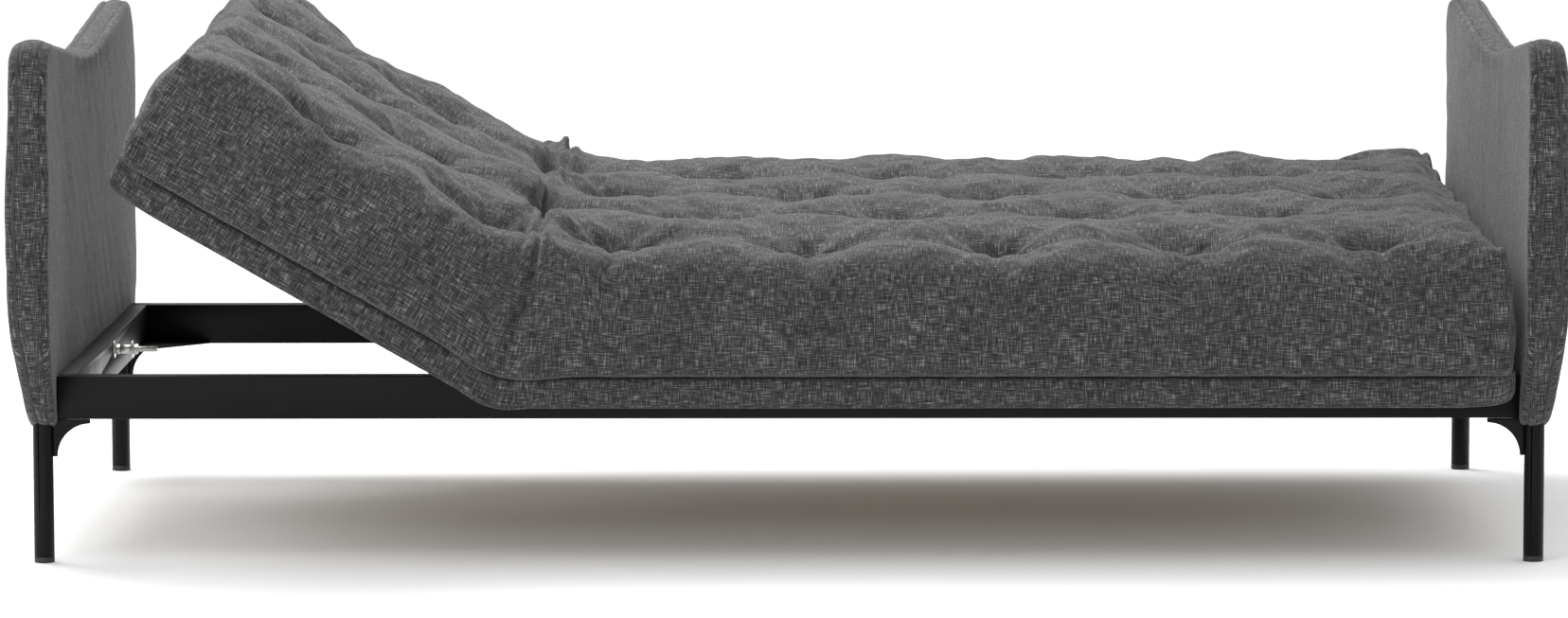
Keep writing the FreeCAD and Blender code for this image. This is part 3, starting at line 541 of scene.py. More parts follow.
@dataclass
class Futon:
    """The tufted mattress, one bag of fabric over wadding that bends with the tray."""

    axes: TrayAxes
    start: float = -0.599
    end: float = 1.398
    half_width: float = 0.562
    bottom: float = 0.0125
    thickness: float = 0.167
    end_corner: float = 0.009
    top_roll: tuple = (0.046, 0.050)
    ear_roll: tuple = (0.020, 0.022)
    lower_roll: tuple = (0.018, 0.015)
    tray_side: float = 0.531
    droop: float = 0.009
    bow: float = 0.006
    panel: float = 0.009
    swell: float = 0.008
    rim_width: float = 0.05
    tip_ease: float = 0.05
    ear_length: float = 0.15
    ear_width: float = 0.035
    ear_rise: float = 0.006
    ear_spread: float = 0.003
    fold_rise: float = 0.022
    fold_reach: float = 0.125
    gather_rise: float = 0.008
    gather_pitch: float = 0.16
    gather_reach: float = 0.12
    bend_sink: float = 0.010
    bend_tuck: float = 0.009
    bend_width: float = 0.014
    cells: tuple = (168, 96, 16)
    zone: tuple = (-0.11, 0.11)
    tuft_first: float = 0.160
    tuft_pitch: float = 0.264
    row_pitch: float = 0.2275
    pit_depth: float = 0.032
    pit_width: float = 0.075
    pin_depth: float = 0.024
    pin_width: float = 0.02
    channel_depth: float = 0.010
    channel_width: float = 0.03
    tuck_depth: float = 0.008
    tuck_sink: float = 0.006
    tuck_width: float = 0.022
    star_height: float = 0.0065
    star_reach: float = 0.05
    swells: tuple = ((0.0018, 0.08, 5), (0.0008, 0.035, 8))
    smooth_base: float = 0.02
    held_base: float = 0.014
    held_tuft: float = 0.010
    bag_scale: tuple = (1.03, 1.03, 1.0)
    start_fullness: float = 0.85
    frames: int = 26
    cap: float = 0.020
    creases: tuple = ((0.006, 0.10, 0.0, 0.006), (0.032, 0.16, 0.09, 0.005),
                      (0.112, 0.45, 0.07, 0.008), (-0.186, 0.25, 0.05, 0.007),
                      (-0.060, 0.20, 0.12, 0.004), (0.427, 0.05, 0.09, 0.003),
                      (0.744, 0.10, 0.10, 0.0025), (0.882, -0.1, 0.09, 0.003),
                      (-0.395, 0.30, 0.10, 0.0025))

    def tufts(self) -> np.ndarray:
        """Places of the tufts: rows 1, 3 and 5 in line, rows 2 and 4 half a pitch on.

        Returns:
            (n, 2) local coordinates a and b.
        """
        rows = self.row_pitch * np.arange(-2, 3)
        steps = self.tuft_first + self.tuft_pitch * np.arange(-2, 5)
        shift = np.array([0.0, 0.5, 0.0, 0.5, 0.0]) * self.tuft_pitch
        a = steps[None, :] + shift[:, None]
        b = np.broadcast_to(rows[:, None], a.shape)
        a = np.where(a > self.end - 0.1, a - len(steps) * self.tuft_pitch, a)
        return np.stack([a, b], axis=-1).reshape(-1, 2)

    def lattice(self) -> tuple[np.ndarray, list[tuple[np.ndarray, np.ndarray]]]:
        """The skin of a block of cells, its six sides sharing their edge points.

        Returns:
            (n, 3) block coordinates from 0 to 1, and one group of quads and UVs for each side. A
            UV is in metres, unrolled over the edges of the top.
        """
        size = np.array(self.cells)
        grid = np.stack(np.meshgrid(*[np.arange(n + 1) for n in size], indexing="ij"), axis=-1)
        skin = ((grid == 0) | (grid == size)).any(axis=-1)
        ticks = [self.ticks(n, near) for n, near in zip(self.cells, (5, 4, 2))]
        block = np.stack([tick[grid[..., i]] for i, tick in enumerate(ticks)], axis=-1)
        number = np.full(skin.shape, -1)
        number[skin] = np.arange(skin.sum())
        length, width = self.end - self.start, 2 * self.half_width
        groups = []
        for axis in range(3):
            for level, sign in ((0, -1), (size[axis], 1)):
                ids = np.take(number, level, axis=axis)
                spots = np.take(block, level, axis=axis) * (length, width, self.thickness)
                drop = self.thickness - spots[..., 2]
                if axis == 0:
                    uv = np.stack([spots[..., 0] + sign * drop, spots[..., 1]], axis=-1)
                elif axis == 1:
                    uv = np.stack([spots[..., 0], spots[..., 1] + sign * drop], axis=-1)
                else:
                    uv = spots[..., :2]
                corners = [slice(None, -1), slice(1, None)]
                order = [(0, 0), (1, 0), (1, 1), (0, 1)]
                quads = np.stack([ids[corners[i], corners[j]] for i, j in order], axis=-1)
                quad_uv = np.stack([uv[corners[i], corners[j]] for i, j in order], axis=-2)
                if (sign > 0) == (axis == 1):
                    quads, quad_uv = quads[..., ::-1], quad_uv[..., ::-1, :]
                groups.append((quads.reshape(-1, 4), quad_uv.reshape(-1, 4, 2)))
        return block[skin], groups

    @staticmethod
    def ticks(count: int, near: float) -> np.ndarray:
        """Cell borders from 0 to 1 whose spacing shrinks as 1 − 0.65·bell towards both ends."""
        middle = np.arange(count) + 0.5
        width = 1 - 0.65 * (bell(middle, near) + bell(count - middle, near))
        return np.concatenate([[0.0], np.cumsum(width)]) / width.sum()

    def relief(self, a: np.ndarray, b: np.ndarray) -> np.ndarray:
        """How far the top lies under its crest.

        The sum over the tufts of pit·exp(−(d / w)²) + pin·exp(−d / v), with w and v their widths,
        and a shallow channel along each row.

        Args:
            a: local coordinate along the bed.
            b: local coordinate across it.

        Returns:
            Depth at each point.
        """
        tufts = self.tufts()
        away = np.hypot(a[:, None] - tufts[:, 0], b[:, None] - tufts[:, 1])
        pits = self.pit_depth * bell(away, self.pit_width)
        pits += self.pin_depth * np.exp(-away / self.pin_width)
        rows = self.row_pitch * np.arange(-2, 3)
        channel = self.channel_depth * bell(b[:, None] - rows, self.channel_width)
        return pits.sum(axis=1) + channel.sum(axis=1)

    def stuffed(self, block: np.ndarray, fullness: float) -> np.ndarray:
        """Block coordinates turned into the flat mattress's local coordinates.

        A point within r of an edge moves to inner + r·d/|d|, with d its way from the inner block
        measured in radii. The long top edges roll softly and grow crisp towards the ears, which
        stand out a little. The top sinks by the relief, rises over the fold, and the sides swell
        by 4h(1 − h); the lower rim droops past the tray's side. The ends bow out, and each end
        panel swells by (1 − (2h − 1)²)(1 − (b / half width)⁶).

        Args:
            block: (n, 3) block coordinates.
            fullness: 1 for the full shape, less for a thinner start.

        Returns:
            (n, 3) local coordinates.
        """
        low = np.array([self.start, -self.half_width, self.bottom])
        size = np.array([self.end - self.start, 2 * self.half_width, self.thickness])
        point = low + block * size
        tip = np.minimum(point[:, 0] - self.start, self.end - point[:, 0])
        soft = smoothstep(tip / self.ear_length)
        upper = block[:, 2] > 0.5
        radius = np.full(point.shape, self.end_corner)
        for axis in (0, 1):
            roll = self.ear_roll[axis] + (self.top_roll[axis] - self.ear_roll[axis]) * soft
            radius[:, axis + 1] = np.where(upper, roll, self.lower_roll[axis])
        inner = np.clip(point, low + radius, low + size - radius)
        way = (point - inner) / radius
        reach = np.linalg.norm(way, axis=1, keepdims=True)
        point = inner + radius * way / np.maximum(reach, 1.0)
        a, b, c = point.T.copy()
        side, end = np.sign(b), np.where(block[:, 0] < 0.5, -1.0, 1.0)
        height = (c - self.bottom) / self.thickness
        rise = smoothstep(height * 1.15)
        aside = self.half_width - np.abs(b)
        point[:, 2] -= self.relief(a, b) * rise * (2 - fullness) * smoothstep(tip / self.tip_ease)
        lumps = 1 + 0.45 * np.sin(13 * b + 2.1) + 0.25 * np.sin(29 * b + 0.4)
        hill = bell(a - 0.03 * np.sin(9 * b), self.fold_reach)
        point[:, 2] += self.fold_rise * hill * rise * lumps
        wander = 0.034 * np.sin(11 * b + 1.3)
        gather = np.sin(2 * math.pi * (a + wander) / self.gather_pitch + 4.2 * b)
        swell = 4 * height * (1 - height)
        rim = smoothstep((0.06 - aside) / self.rim_width)
        inner_part = rise * (1 - 0.8 * rim)
        point[:, 2] += self.gather_rise * gather * bell(a, self.gather_reach) * inner_part
        point[:, 1] += side * swell * self.swell * fullness * rim
        tufts = self.tufts()
        outer = tufts[np.abs(tufts[:, 1]) > 1.9 * self.row_pitch, 0]
        tuck = bell(a[:, None] - np.unique(outer), self.tuck_width).sum(axis=1)
        point[:, 1] -= side * self.tuck_depth * tuck * rim * height
        point[:, 2] -= self.tuck_sink * tuck * rim * rise
        bend = 0.006 + 0.022 * np.sin(12 * (self.half_width - np.abs(b))) * (np.abs(b) < 0.5)
        crease = np.exp(-np.abs(a - bend) / self.bend_width) * smoothstep(height / 0.2)
        point[:, 1] -= side * self.bend_tuck * crease * rim
        point[:, 2] -= self.bend_sink * crease * rise * (0.6 + 0.6 * np.sin(17 * b + 0.7))
        past = smoothstep((np.abs(b) - self.tray_side) / 0.010)
        point[:, 2] -= self.droop * past * smoothstep(1 - height / 0.35)
        bow = 1 - (2 * height - 1) ** 2
        face = (block[:, 0] == 0) | (block[:, 0] == 1)
        flat_end = 1 - np.clip(np.abs(b) / self.half_width, 0, 1) ** 6
        point[:, 0] += end * (self.bow * bow * smoothstep(1 - tip / self.tip_ease)
                              + self.panel * bow * flat_end * face)
        below = (1 - height) ** 2 * self.thickness ** 2
        ear = bell(np.sqrt(tip ** 2 + aside ** 2 + below), self.ear_width)
        point[:, 2] += self.ear_rise * ear
        point[:, 1] += side * self.ear_spread * ear
        return point

    def settle(self, piece: bpy.types.Object, flat: np.ndarray, pins: np.ndarray) -> None:
        """Lets the cover swell as cloth between its tufts.

        The cloth starts raised and wants the lengths of the flat, slightly larger bag. The
        pressure is too high for its stiffness: by the last frame the free points have gone 87 mm
        on average and up to 315 mm. Each move d is therefore cut to cap·tanh(d / cap), and the
        cap, not the cloth, decides how far the cover swells.

        Args:
            piece: the raised mattress.
            flat: (n, 3) places of its points in the flat bag.
            pins: numbers of the points that stay.
        """
        scene = bpy.context.scene
        before = read(piece.data.vertices)
        piece.shape_key_add(name="Raised")
        key = piece.shape_key_add(name="Flat")
        write(key.data, flat)
        key.value = 0.0
        piece.vertex_groups.new(name="pins").add(pins.tolist(), 1.0, "REPLACE")
        cloth = piece.modifiers.new("Cloth", "CLOTH")
        rules = cloth.settings
        rules.rest_shape_key = key
        rules.vertex_group_mass = "pins"
        rules.quality = 5
        rules.mass = 0.02
        rules.tension_stiffness = rules.compression_stiffness = 12
        rules.shear_stiffness = 4
        rules.bending_stiffness = 0.05
        rules.tension_damping = rules.compression_damping = 2
        rules.air_damping = 1
        rules.use_pressure = True
        rules.uniform_pressure_force = 8.0
        rules.effector_weights.gravity = 0.0
        cloth.collision_settings.use_collision = False
        cloth.point_cache.frame_start, cloth.point_cache.frame_end = 1, self.frames
        for number in range(1, self.frames + 1):
            scene.frame_set(number)
        settled = piece.evaluated_get(bpy.context.evaluated_depsgraph_get()).to_mesh()
        after = read(settled.vertices)
        piece.modifiers.remove(cloth)
        piece.shape_key_clear()
        piece.vertex_groups.clear()
        scene.frame_set(1)
        move = after - before
        far = np.linalg.norm(move, axis=1, keepdims=True)
        LOG.info("futon cloth moved %.1f mm on average, %.1f mm at most",
                 far.mean() / MILLI, far.max() / MILLI)
        capped = self.cap * np.tanh(far / self.cap) / np.maximum(far, 1e-9)
        write(piece.data.vertices, before + move * capped)
        piece.data.update()

    def wrinkles(self, local: np.ndarray) -> np.ndarray:
        """Fine creases over the swollen shape, as a height along the normal.

        Round a tuft at distance d and angle f the cloth gathers as cos(n·f)·exp(−d / reach);
        nearer the fold it gathers along its width; soft ripples lie over all of it, and each
        crease of the sides is a place, a lean, the height where it starts and its depth.

        Args:
            local: (n, 3) places in the flat mattress.

        Returns:
            Height at each point.
        """
        a, b, c = local.T
        top = smoothstep((c - self.bottom) / self.thickness * 2 - 0.7)
        tufts = self.tufts()
        random = np.random.default_rng(11)
        folds = random.integers(6, 10, len(tufts))
        phase = random.uniform(0, 2 * math.pi, len(tufts))
        away_a, away_b = a[:, None] - tufts[:, 0], b[:, None] - tufts[:, 1]
        away = np.hypot(away_a, away_b)
        gather = np.cos(folds * np.arctan2(away_b, away_a) + phase)
        fade = np.exp(-away / self.star_reach) * smoothstep(away / 0.018)
        height = self.star_height * (gather * fade).sum(axis=1) * top
        height += 0.0035 * bell(a, 0.10) * ripples(local * (1, 0.55, 1), 0.05, 3)
        height += 0.0026 * ripples(local, 0.13, 4) * top
        for size, wavelength, seed in self.swells:
            height += size * ripples(local, wavelength, seed)
        sides = smoothstep((np.abs(b) - 0.50) / 0.05)
        for place, lean, start, depth in self.creases:
            off = np.abs(a - place - lean * (c - 0.08) - 0.004 * np.sin(c * 60 + place * 90))
            strength = smoothstep((c - start) / 0.05) * sides
            height += (0.45 * depth * bell(off - 0.016, 0.009)
                       - depth * np.exp(-off / 0.005)) * strength
        return height

    def ends(self, local: np.ndarray) -> np.ndarray:
        """Height of the seams round the two end panels and of the folds at their corners.

        A seam stands up as a bell 5 mm wide along the panel's rim, and on the panel an envelope
        fold slants from each corner as |h − ½|·t·1.1 + 12 mm.

        Args:
            local: (n, 3) places in the flat mattress.

        Returns:
            Height at each point.
        """
        a, b, c = local.T
        tip = np.minimum(a - self.start, self.end - a)
        seam = 0.0030 * bell(tip - 0.004, 0.005) - 0.0020 * bell(tip - 0.015, 0.006)
        level = (c - self.bottom) / self.thickness - 0.5
        aside = self.half_width - np.abs(b)
        slant = np.abs(level) * self.thickness * 1.1 + 0.012 - aside
        fold = np.exp(-np.abs(slant) / 0.005) * smoothstep((0.13 - aside) / 0.05)
        return seam - 0.003 * fold * smoothstep(-tip / 0.004)

    def make(self, finish: bpy.types.Material) -> bpy.types.Object:
        """Builds, swells, wrinkles and dresses the mattress.

        Args:
            finish: the cover's material.

        Returns:
            The piece, bent at the fold over the raised tray.
        """
        block, groups = self.lattice()
        full = self.stuffed(block, 1.0)
        thin = self.stuffed(block, self.start_fullness)
        piece = build("futon", self.axes.raised(thin, self.zone), groups)
        store = piece.data.attributes.new("flat_place", "FLOAT_VECTOR", "POINT")
        write(store.data, full, "vector")
        tufts = self.tufts()
        away = np.hypot(full[:, 0][:, None] - tufts[:, 0],
                        full[:, 1][:, None] - tufts[:, 1]).min(axis=1)
        low = full[:, 2] < self.bottom + self.held_base
        held = low | ((block[:, 2] == 1) & (away < self.held_tuft))
        self.settle(piece, self.axes.world(full * self.bag_scale), np.flatnonzero(held))
        subdivide(piece, 1)
        mesh = piece.data
        local = read(mesh.attributes["flat_place"].data, "vector")
        height = self.wrinkles(local) + self.ends(local)
        keep = smoothstep((local[:, 2] - self.bottom) / self.smooth_base)
        out = read(mesh.vertex_normals, "vector") * (height * keep)[:, None]
        write(mesh.vertices, read(mesh.vertices) + out)
        mesh.update()
        mesh.attributes.remove(mesh.attributes["flat_place"])
        mesh.materials.append(finish)
        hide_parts("mattress_seat", "mattress_head", "mattress_fold")
        self.axes.blend(piece, self.zone[1])
        return piece


# --- tray cover


@dataclass
class TrayCover:
    """The tray's long boards in their fabric, and the fabric round the tray's two ends."""

    axes: TrayAxes
    start: float = -0.605
    end: float = 1.405
    outer: float = 0.545
    width: float = 0.0245
    height: float = 0.0425
    corner: float = 0.006
    end_curve: float = 0.035
    end_close: float = 0.010
    lift_length: float = 0.085
    lift_top: float = 0.0095
    lift_base: float = 0.004
    nose_half: float = 0.0095
    nose_middle: float = 0.0056
    nose_half_height: float = 0.0060
    nose_round: float = 0.01
    zone: tuple = (-0.045, 0.045)
    around: int = 44

    def stations(self) -> np.ndarray:
        """Places along the bed, closer together at the fold and at both ends."""
        length = self.end - self.start
        even = np.linspace(self.start, self.end, int(length / 0.012))
        tips = 0.04 * (1 - np.cos(np.linspace(0, math.pi / 2, 16)))
        return np.unique(np.concatenate([even, self.start + tips, self.end - tips,
                                         np.linspace(-0.06, 0.06, 31)]))

    def side(self, sign: int, name: str, finish: bpy.types.Material, nodes: tuple
             ) -> bpy.types.Object:
        """One long side: a rounded bar whose lower edge curves up at both ends.

        With e the distance to the nearer end, the height shrinks to about a half as sqrt(1 − (1
        − e / end_curve)²), the width closes likewise, and the top rises towards the futon.

        Args:
            sign: −1 for the near side, 1 for the far side.
            name: the piece's name.
            finish: the cover's material.
            nodes: CAD nodes that it replaces.

        Returns:
            The piece.
        """
        half = np.array([self.width, self.height]) / 2
        corners = half * np.array([(-1, -1), (1, -1), (1, 1), (-1, 1)])
        profile = rounded_outline(corners, np.full(4, self.corner), self.around)
        along = self.stations()
        tip = np.minimum(along - self.start, self.end - along)
        tall, wide = (np.sqrt(1 - (1 - np.clip(tip / reach, 0.02, 1)) ** 2)[:, None]
                      for reach in (self.end_curve, self.end_close))
        b = sign * (self.outer - half[0] * (2 - wide)) + profile[:, 0] * wide
        lift = smoothstep(1 - tip / self.lift_length)[:, None]
        upper = smoothstep(profile[:, 1] / self.height + 0.5)
        c = (profile[:, 1] - half[1]) * (0.55 + 0.45 * tall) + 0.001
        c += lift * (self.lift_top * upper + self.lift_base * (1 - upper))
        c = np.where(wide < 1, -0.012 + (c + 0.012) * np.sqrt(wide), c)
        local = np.stack([np.broadcast_to(along[:, None], b.shape), b, c], axis=-1)
        sag = 0.0008 * ripples(local.reshape(-1, 3) * (1, 0.2, 0.2), 0.14, 21).reshape(b.shape)
        local[..., 1] += sag * sign
        girth = np.linspace(0, 2 * half.sum() * 2, self.around + 1)
        uv = np.stack(np.broadcast_arrays(along[:, None], girth[None, :]), axis=-1)
        piece = loft(name, self.axes.raised(local, self.zone), uv)
        piece.data.materials.append(finish)
        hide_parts(*nodes)
        self.axes.blend(piece, self.zone[1])
        return piece

    def nose(self, at_head: bool, name: str, finish: bpy.types.Material, body: str, node: str
             ) -> bpy.types.Object:
        """The roll of cloth over the bar at one end of the tray.

        Its section is an ellipse and its ends are rounded off.

        Args:
            at_head: true for the head end.
            name: the piece's name.
            finish: the cover's material.
            body: the CAD body that it rides on.
            node: the CAD node that it replaces.

        Returns:
            The piece.
        """
        middle = self.start + self.nose_half if at_head else self.end - self.nose_half
        reach = self.outer - self.corner
        ease = self.nose_round * (1 - np.cos(np.linspace(0.2, math.pi / 2, 8)))
        inner = reach - 2 * self.nose_round
        across = np.concatenate([ease - reach, np.linspace(-inner, inner, 60),
                                 reach - ease[::-1]])
        tip = np.clip((reach - np.abs(across)) / self.nose_round, 0.02, 1)
        scale = np.sqrt(1 - (1 - tip) ** 2)[:, None]
        angle = np.linspace(0, 2 * math.pi, 32, endpoint=False)
        a = middle + self.nose_half * np.cos(angle) * scale
        c = self.nose_middle + self.nose_half_height * np.sin(angle) * scale
        local = np.stack([a, np.broadcast_to(across[:, None], a.shape), c], axis=-1)
        girth = np.linspace(0, 0.06, 33)
        uv = np.stack(np.broadcast_arrays(girth[None, :], across[:, None]), axis=-1)
        piece = loft(name, self.axes.raised(local, self.zone), uv)
        piece.data.materials.append(finish)
        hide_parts(node)
        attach(piece, body)
        return piece

    def make(self, finish: bpy.types.Material) -> list[bpy.types.Object]:
        """Builds both sides and both ends.

        Args:
            finish: the cover's material.

        Returns:
            The four pieces.
        """
        return [
            self.side(-1, "tray_cover_near", finish,
                      ("seat_cover_near", "head_cover_near", "fold_webs", "seat_board_near",
                       "head_board_near")),
            self.side(1, "tray_cover_far", finish,
                      ("seat_cover_far", "head_cover_far", "seat_board_far", "head_board_far")),
            self.nose(True, "tray_nose_head", finish, "headrest", "head_nose"),
            self.nose(False, "tray_nose_foot", finish, "frame", "seat_nose"),
        ]


# --- arms


@dataclass
class WingedArm:
    """A padded arm: a board under foam and cloth, with raised corners and a boxed edge."""

    side: int
    word: str
    face: float
    half_depth: float = 0.575
    bottom: float = 0.184
    shoulder: float = 0.310
    ear: float = 0.731
    valley: float = 0.671
    inset: float = 0.060
    foot_round: float = 0.060
    ear_round: float = 0.055
    valley_round: float = 1.5
    levels: tuple = (0.184, 0.25, 0.36, 0.48, 0.62, 0.731)
    thick: tuple = (0.038, 0.048, 0.0615, 0.0615, 0.057, 0.053)
    inner_corner: float = 0.009
    outer_corner: float = 0.014
    bulge: float = 0.003
    groove: float = 0.0016
    groove_place: float = 0.06
    groove_width: float = 0.022
    saddle: float = 0.002
    puckers: float = 0.0016
    waves: tuple = (0.0011, 0.0004)
    around: int = 400

    def outline(self) -> np.ndarray:
        """The arm seen from its face: two raised ears, a long hollow and turned-in feet."""
        half, foot = self.half_depth, self.half_depth - self.inset
        corners = np.array([(-foot, self.bottom), (foot, self.bottom), (half, self.shoulder),
                            (half, self.ear), (0.0, self.valley), (-half, self.ear),
                            (-half, self.shoulder)])
        radii = np.array([self.foot_round, self.foot_round, self.foot_round, self.ear_round,
                          self.valley_round, self.ear_round, self.foot_round])
        return rounded_outline(corners, radii, self.around)

    def thickness(self, height: np.ndarray) -> np.ndarray:
        """Thickness of the arm at a height, a smoothed table from foot to top.

        Args:
            height: height over the floor.

        Returns:
            Thickness there.
        """
        levels = np.linspace(0.1, 0.8, 281)
        table = np.interp(levels, self.levels, self.thick)
        window = np.hanning(33)
        padded = np.pad(table, 16, mode="edge")
        return np.interp(height, levels, np.convolve(padded, window / window.sum(), "valid"))

    def make(self, finish: bpy.types.Material) -> bpy.types.Object:
        """Lays rings over the inner face, round the boxed edge and over the outer face.

        On a face a ring is the outline scaled to the middle; on a corner of radius r it is inset
        by r(1 − sin f) and lies r(1 − cos f) deep; on the strip it bulges by 4u(1 − u).

        Args:
            finish: the cover's material.

        Returns:
            The piece, riding on the frame.
        """
        outline = self.outline()
        normal = outward(outline)
        middle = np.array([0.0, (self.bottom + self.valley) / 2])
        scales = np.linspace(0.03, 1, 34)
        quarter = np.linspace(0, math.pi / 2, 8)[1:]
        strip = np.concatenate([[0.0, 0.03, 0.06, 0.09], np.linspace(0.15, 0.85, 9),
                                [0.91, 0.94, 0.97, 1.0]])[1:-1]
        n, turn = len(scales), len(quarter)
        count = 2 * n + 2 * turn + len(strip)
        spread = np.ones(count)
        inset = np.full(count, self.inner_corner)
        depth = np.zeros(count)
        part = np.zeros(count)
        spread[:n] = scales
        inset[n:n + turn] = self.inner_corner * (1 - np.sin(quarter))
        depth[n:n + turn] = self.inner_corner * (1 - np.cos(quarter))
        last = n + turn + len(strip)
        edge = slice(n + turn, last)
        inset[edge] = -self.bulge * 4 * strip * (1 - strip)
        part[edge] = strip
        inset[edge] += self.groove * (
            bell(strip - self.groove_place, self.groove_width)
            + bell(strip - (1 - self.groove_place), self.groove_width))
        part[last:] = 1.0
        inset[last:last + turn] = self.outer_corner * (1 - np.cos(quarter))
        depth[last:last + turn] = self.outer_corner * (np.sin(quarter) - 1)
        inset[last + turn:] = self.outer_corner
        spread[last + turn:] = scales[::-1]
        flat = middle + (outline[None] - normal[None] * inset[:, None, None] - middle
                         ) * spread[:, None, None]
        thick = self.thickness(flat[..., 1])
        low, high = self.inner_corner, thick - self.outer_corner
        x = np.where(part[:, None] == 0, depth[:, None],
                     np.where(part[:, None] == 1, thick + depth[:, None],
                              low + part[:, None] * (high - low)))
        place = np.stack([x, flat[..., 0], flat[..., 1]], axis=-1)
        flesh = place.reshape(-1, 3)
        wave = self.waves[0] * ripples(flesh * (0.3, 1, 1), 0.22, 31 + self.side)
        wave += self.waves[1] * ripples(flesh, 0.05, 41 + self.side)
        top = smoothstep((flesh[:, 2] - self.valley + 0.03) / 0.03) * bell(flesh[:, 1], 0.22)
        wave += self.puckers * top * np.sin(flesh[:, 1] * 210 + 4 * np.sin(flesh[:, 1] * 37))
        out = np.where(part > 0.5, 1.0, np.where(part > 0, 0.0, -1.0))
        place[..., 0] += wave.reshape(x.shape) * out[:, None]
        on_strip = ((part > 0) & (part < 1))[:, None, None]
        place[..., 1:] += np.where(on_strip, normal[None] * wave.reshape(x.shape)[..., None], 0)
        place[..., 0] += self.saddle * ((1 - spread ** 2) * (part == 0))[:, None]
        place[..., 0] = self.side * (self.face + place[..., 0])
        walk = np.concatenate([[0], np.cumsum(np.linalg.norm(
            np.diff(np.vstack([outline, outline[:1]]), axis=0), axis=1))])
        closed = np.concatenate([place, place[:, :1]], axis=1)
        face_uv = closed[..., 1:]
        strip_uv = np.stack([np.broadcast_to(walk, closed.shape[:2]), closed[..., 0]], axis=-1)
        piece = loft(f"arm_{self.word}", place, np.where(on_strip, strip_uv, face_uv))
        piece.data.materials.append(finish)
        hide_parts(f"arm_{self.word}_pad")
        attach(piece, "frame")
        return piece


# --- steel, timber and fittings


@dataclass
class Hardware:
    """The rigid nodes of the frame, kept as they are and finished."""

    bevels: dict

    def dress(self, finishes: dict) -> int:
        """Gives every visible node its finish, smooth shading and broken edges.

        Args:
            finishes: materials by slot name; timber has one for each grain direction.

        Returns:
            How many nodes were dressed.
        """
        slots = {row["node"]: row["material_slot"] for row in frame["record"]["subparts"]}
        for name, node in frame["nodes"].items():
            slot = slots[name]
            low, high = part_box(name)
            if slot == Slot.TIMBER.value:
                slot += "_long" if high.x - low.x > high.y - low.y else "_cross"
                if name.endswith("slats"):
                    slot = Slot.TIMBER.value + "_cross"
            node.data.materials.clear()
            node.data.materials.append(finishes[slot])
            node.data.polygons.foreach_set("use_smooth", np.ones(len(node.data.polygons), bool))
            weld = node.modifiers.new("Weld", "WELD")
            weld.merge_threshold = WELD_GAP
            edge = node.modifiers.new("Bevel", "BEVEL")
            edge.width = self.bevels[slots[name]]
            edge.segments = 2
            edge.limit_method = "ANGLE"
            edge.angle_limit = math.radians(SHARP_DEGREES)
            edge.harden_normals = True
        return len(frame["nodes"])


# --- studio


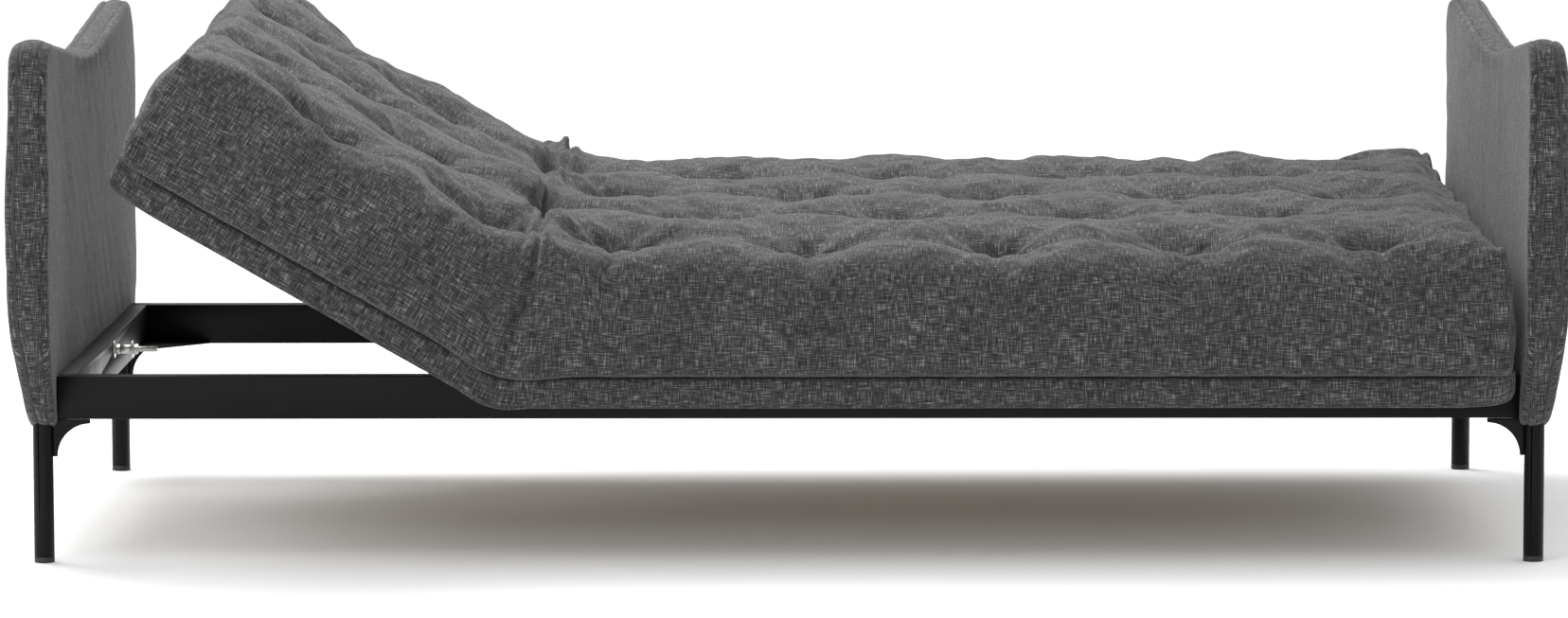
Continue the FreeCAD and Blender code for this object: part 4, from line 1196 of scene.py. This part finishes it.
@dataclass
class Studio:
    """A pale floor, soft light from above and in front, and a camera with a long lens."""

    eye: tuple = (0.028, -9.315, 1.267)
    pitch_degrees: float = 5.92
    yaw_degrees: float = -0.22
    roll_degrees: float = -0.08
    lens: float = 146.9
    sky: tuple = (0.32, 1.52)
    rim: float = 0.05
    reach: float = 40.0
    aside: int = 9

    def floor(self) -> None:
        """A large flat sheet of points z = 0 with a faint mottle in its material."""
        line = np.linspace(-self.reach, self.reach, self.aside)
        x, y = np.meshgrid(line, line, indexing="ij")
        points = np.stack([x, y, np.zeros_like(x)], axis=-1).reshape(-1, 3)
        ids = np.arange(x.size).reshape(x.shape)
        quads = np.stack([ids[:-1, :-1], ids[1:, :-1], ids[1:, 1:], ids[:-1, 1:]], axis=-1)
        mesh = bpy.data.meshes.new("floor")
        mesh.from_pydata(points, [], quads.reshape(-1, 4).tolist())
        sheet = bpy.data.objects.new("floor", mesh)
        bpy.context.scene.collection.objects.link(sheet)
        recipe = Recipe("floor_paint")
        where = recipe.add("TexCoord").outputs["Object"]
        colour = recipe.ramp(recipe.noise(where, (2, 2, 2), 3),
                             [(0.3, (0.93, 0.93, 0.93)), (0.7, (0.95, 0.95, 0.95))])
        mesh.materials.append(recipe.finish(Base_Color=colour, Roughness=0.9,
                                            Specular_IOR_Level=0.1))

    def lamp(self, name: str, place: tuple, aim: tuple, size: tuple, power: float) -> None:
        """A soft rectangular lamp aimed at a point."""
        data = bpy.data.lights.new(name, "AREA")
        data.shape = "RECTANGLE"
        data.size, data.size_y = size
        data.energy = power
        lamp = bpy.data.objects.new(name, data)
        lamp.location = place
        lamp.rotation_mode = "QUATERNION"
        lamp.rotation_quaternion = (Vector(aim) - Vector(place)).to_track_quat("-Z", "Y")
        bpy.context.scene.collection.objects.link(lamp)

    def light(self) -> None:
        """White surroundings, bright overhead and in a thin rim, with two large lamps."""
        world = bpy.data.worlds.new("studio")
        world.use_nodes = True
        nodes = Nodes(world.node_tree)
        place = nodes.add("TexCoord").outputs["Generated"]
        height = nodes.add("SeparateXYZ", Vector=place).outputs["Z"]
        low, high = self.sky
        glow = nodes.add("MapRange", Value=height, To_Min=low, To_Max=high).outputs[0]
        rim = nodes.math("LESS_THAN", height, self.rim)
        background = nodes.tree.nodes["Background"]
        nodes.feed(background.inputs["Strength"], nodes.math("ADD", glow, rim))
        nodes.feed(background.inputs["Color"], (1, 1, 1, 1))
        bpy.context.scene.world = world
        self.lamp("overhead", (-1.7, 1.9, 4.2), (0.1, 0, 0.4), (3.8, 2.4), 220)
        self.lamp("front_left", (-4.5, -6.5, 2.8), (0, 0, 0.4), (3.0, 2.4), 110)

    def camera(self) -> None:
        """The view: a turn about Z, then down by the pitch, then round the lens by the roll."""
        data = bpy.data.cameras.new("view")
        data.sensor_fit = "HORIZONTAL"
        data.sensor_width = 36.0
        data.lens = self.lens
        data.clip_end = 200
        eye = bpy.data.objects.new("view", data)
        turn = (Matrix.Rotation(math.radians(-self.yaw_degrees), 4, "Z")
                @ Matrix.Rotation(math.radians(90 - self.pitch_degrees), 4, "X")
                @ Matrix.Rotation(math.radians(self.roll_degrees), 4, "Z"))
        eye.matrix_world = Matrix.Translation(self.eye) @ turn
        bpy.context.scene.collection.objects.link(eye)
        bpy.context.scene.camera = eye

    def make(self) -> None:
        """Sets up floor, light and camera, with colours shown plainly."""
        self.floor()
        self.light()
        self.camera()
        bpy.context.scene.view_settings.view_transform = "Standard"


def main() -> None:
    """Builds the sofa bed piece by piece and reports each one."""
    logging.basicConfig(level=logging.INFO, format="%(name)s: %(message)s")
    fabric = Melange().make()
    finishes = {
        Slot.FABRIC.value: fabric,
        Slot.STEEL.value: POWDER_COAT.make(),
        Slot.ZINC.value: ZINC_PLATE.make(),
        Slot.PLASTIC.value: BLACK_PLASTIC.make(),
        Slot.TIMBER.value + "_long": Timber(along_x=True).make(),
        Slot.TIMBER.value + "_cross": Timber(along_x=False).make(),
    }
    bevels = {Slot.STEEL.value: 0.0012, Slot.ZINC.value: 0.0004, Slot.TIMBER.value: 0.0015,
              Slot.PLASTIC.value: 0.001, Slot.FABRIC.value: 0.001}
    LOG.info("%d nodes dressed", Hardware(bevels).dress(finishes))
    axes = TrayAxes.of(frame["joints"][0])
    pieces = TrayCover(axes).make(fabric)
    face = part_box("arm_right_pad")[0].x
    for side, word in ((-1, "left"), (1, "right")):
        pieces.append(WingedArm(side, word, face).make(fabric))
    pieces.append(Futon(axes).make(fabric))
    for piece in pieces:
        LOG.info("%s: %d faces", piece.name, len(piece.data.polygons))
    Studio().make()


if __name__ == "__main__":
    main()
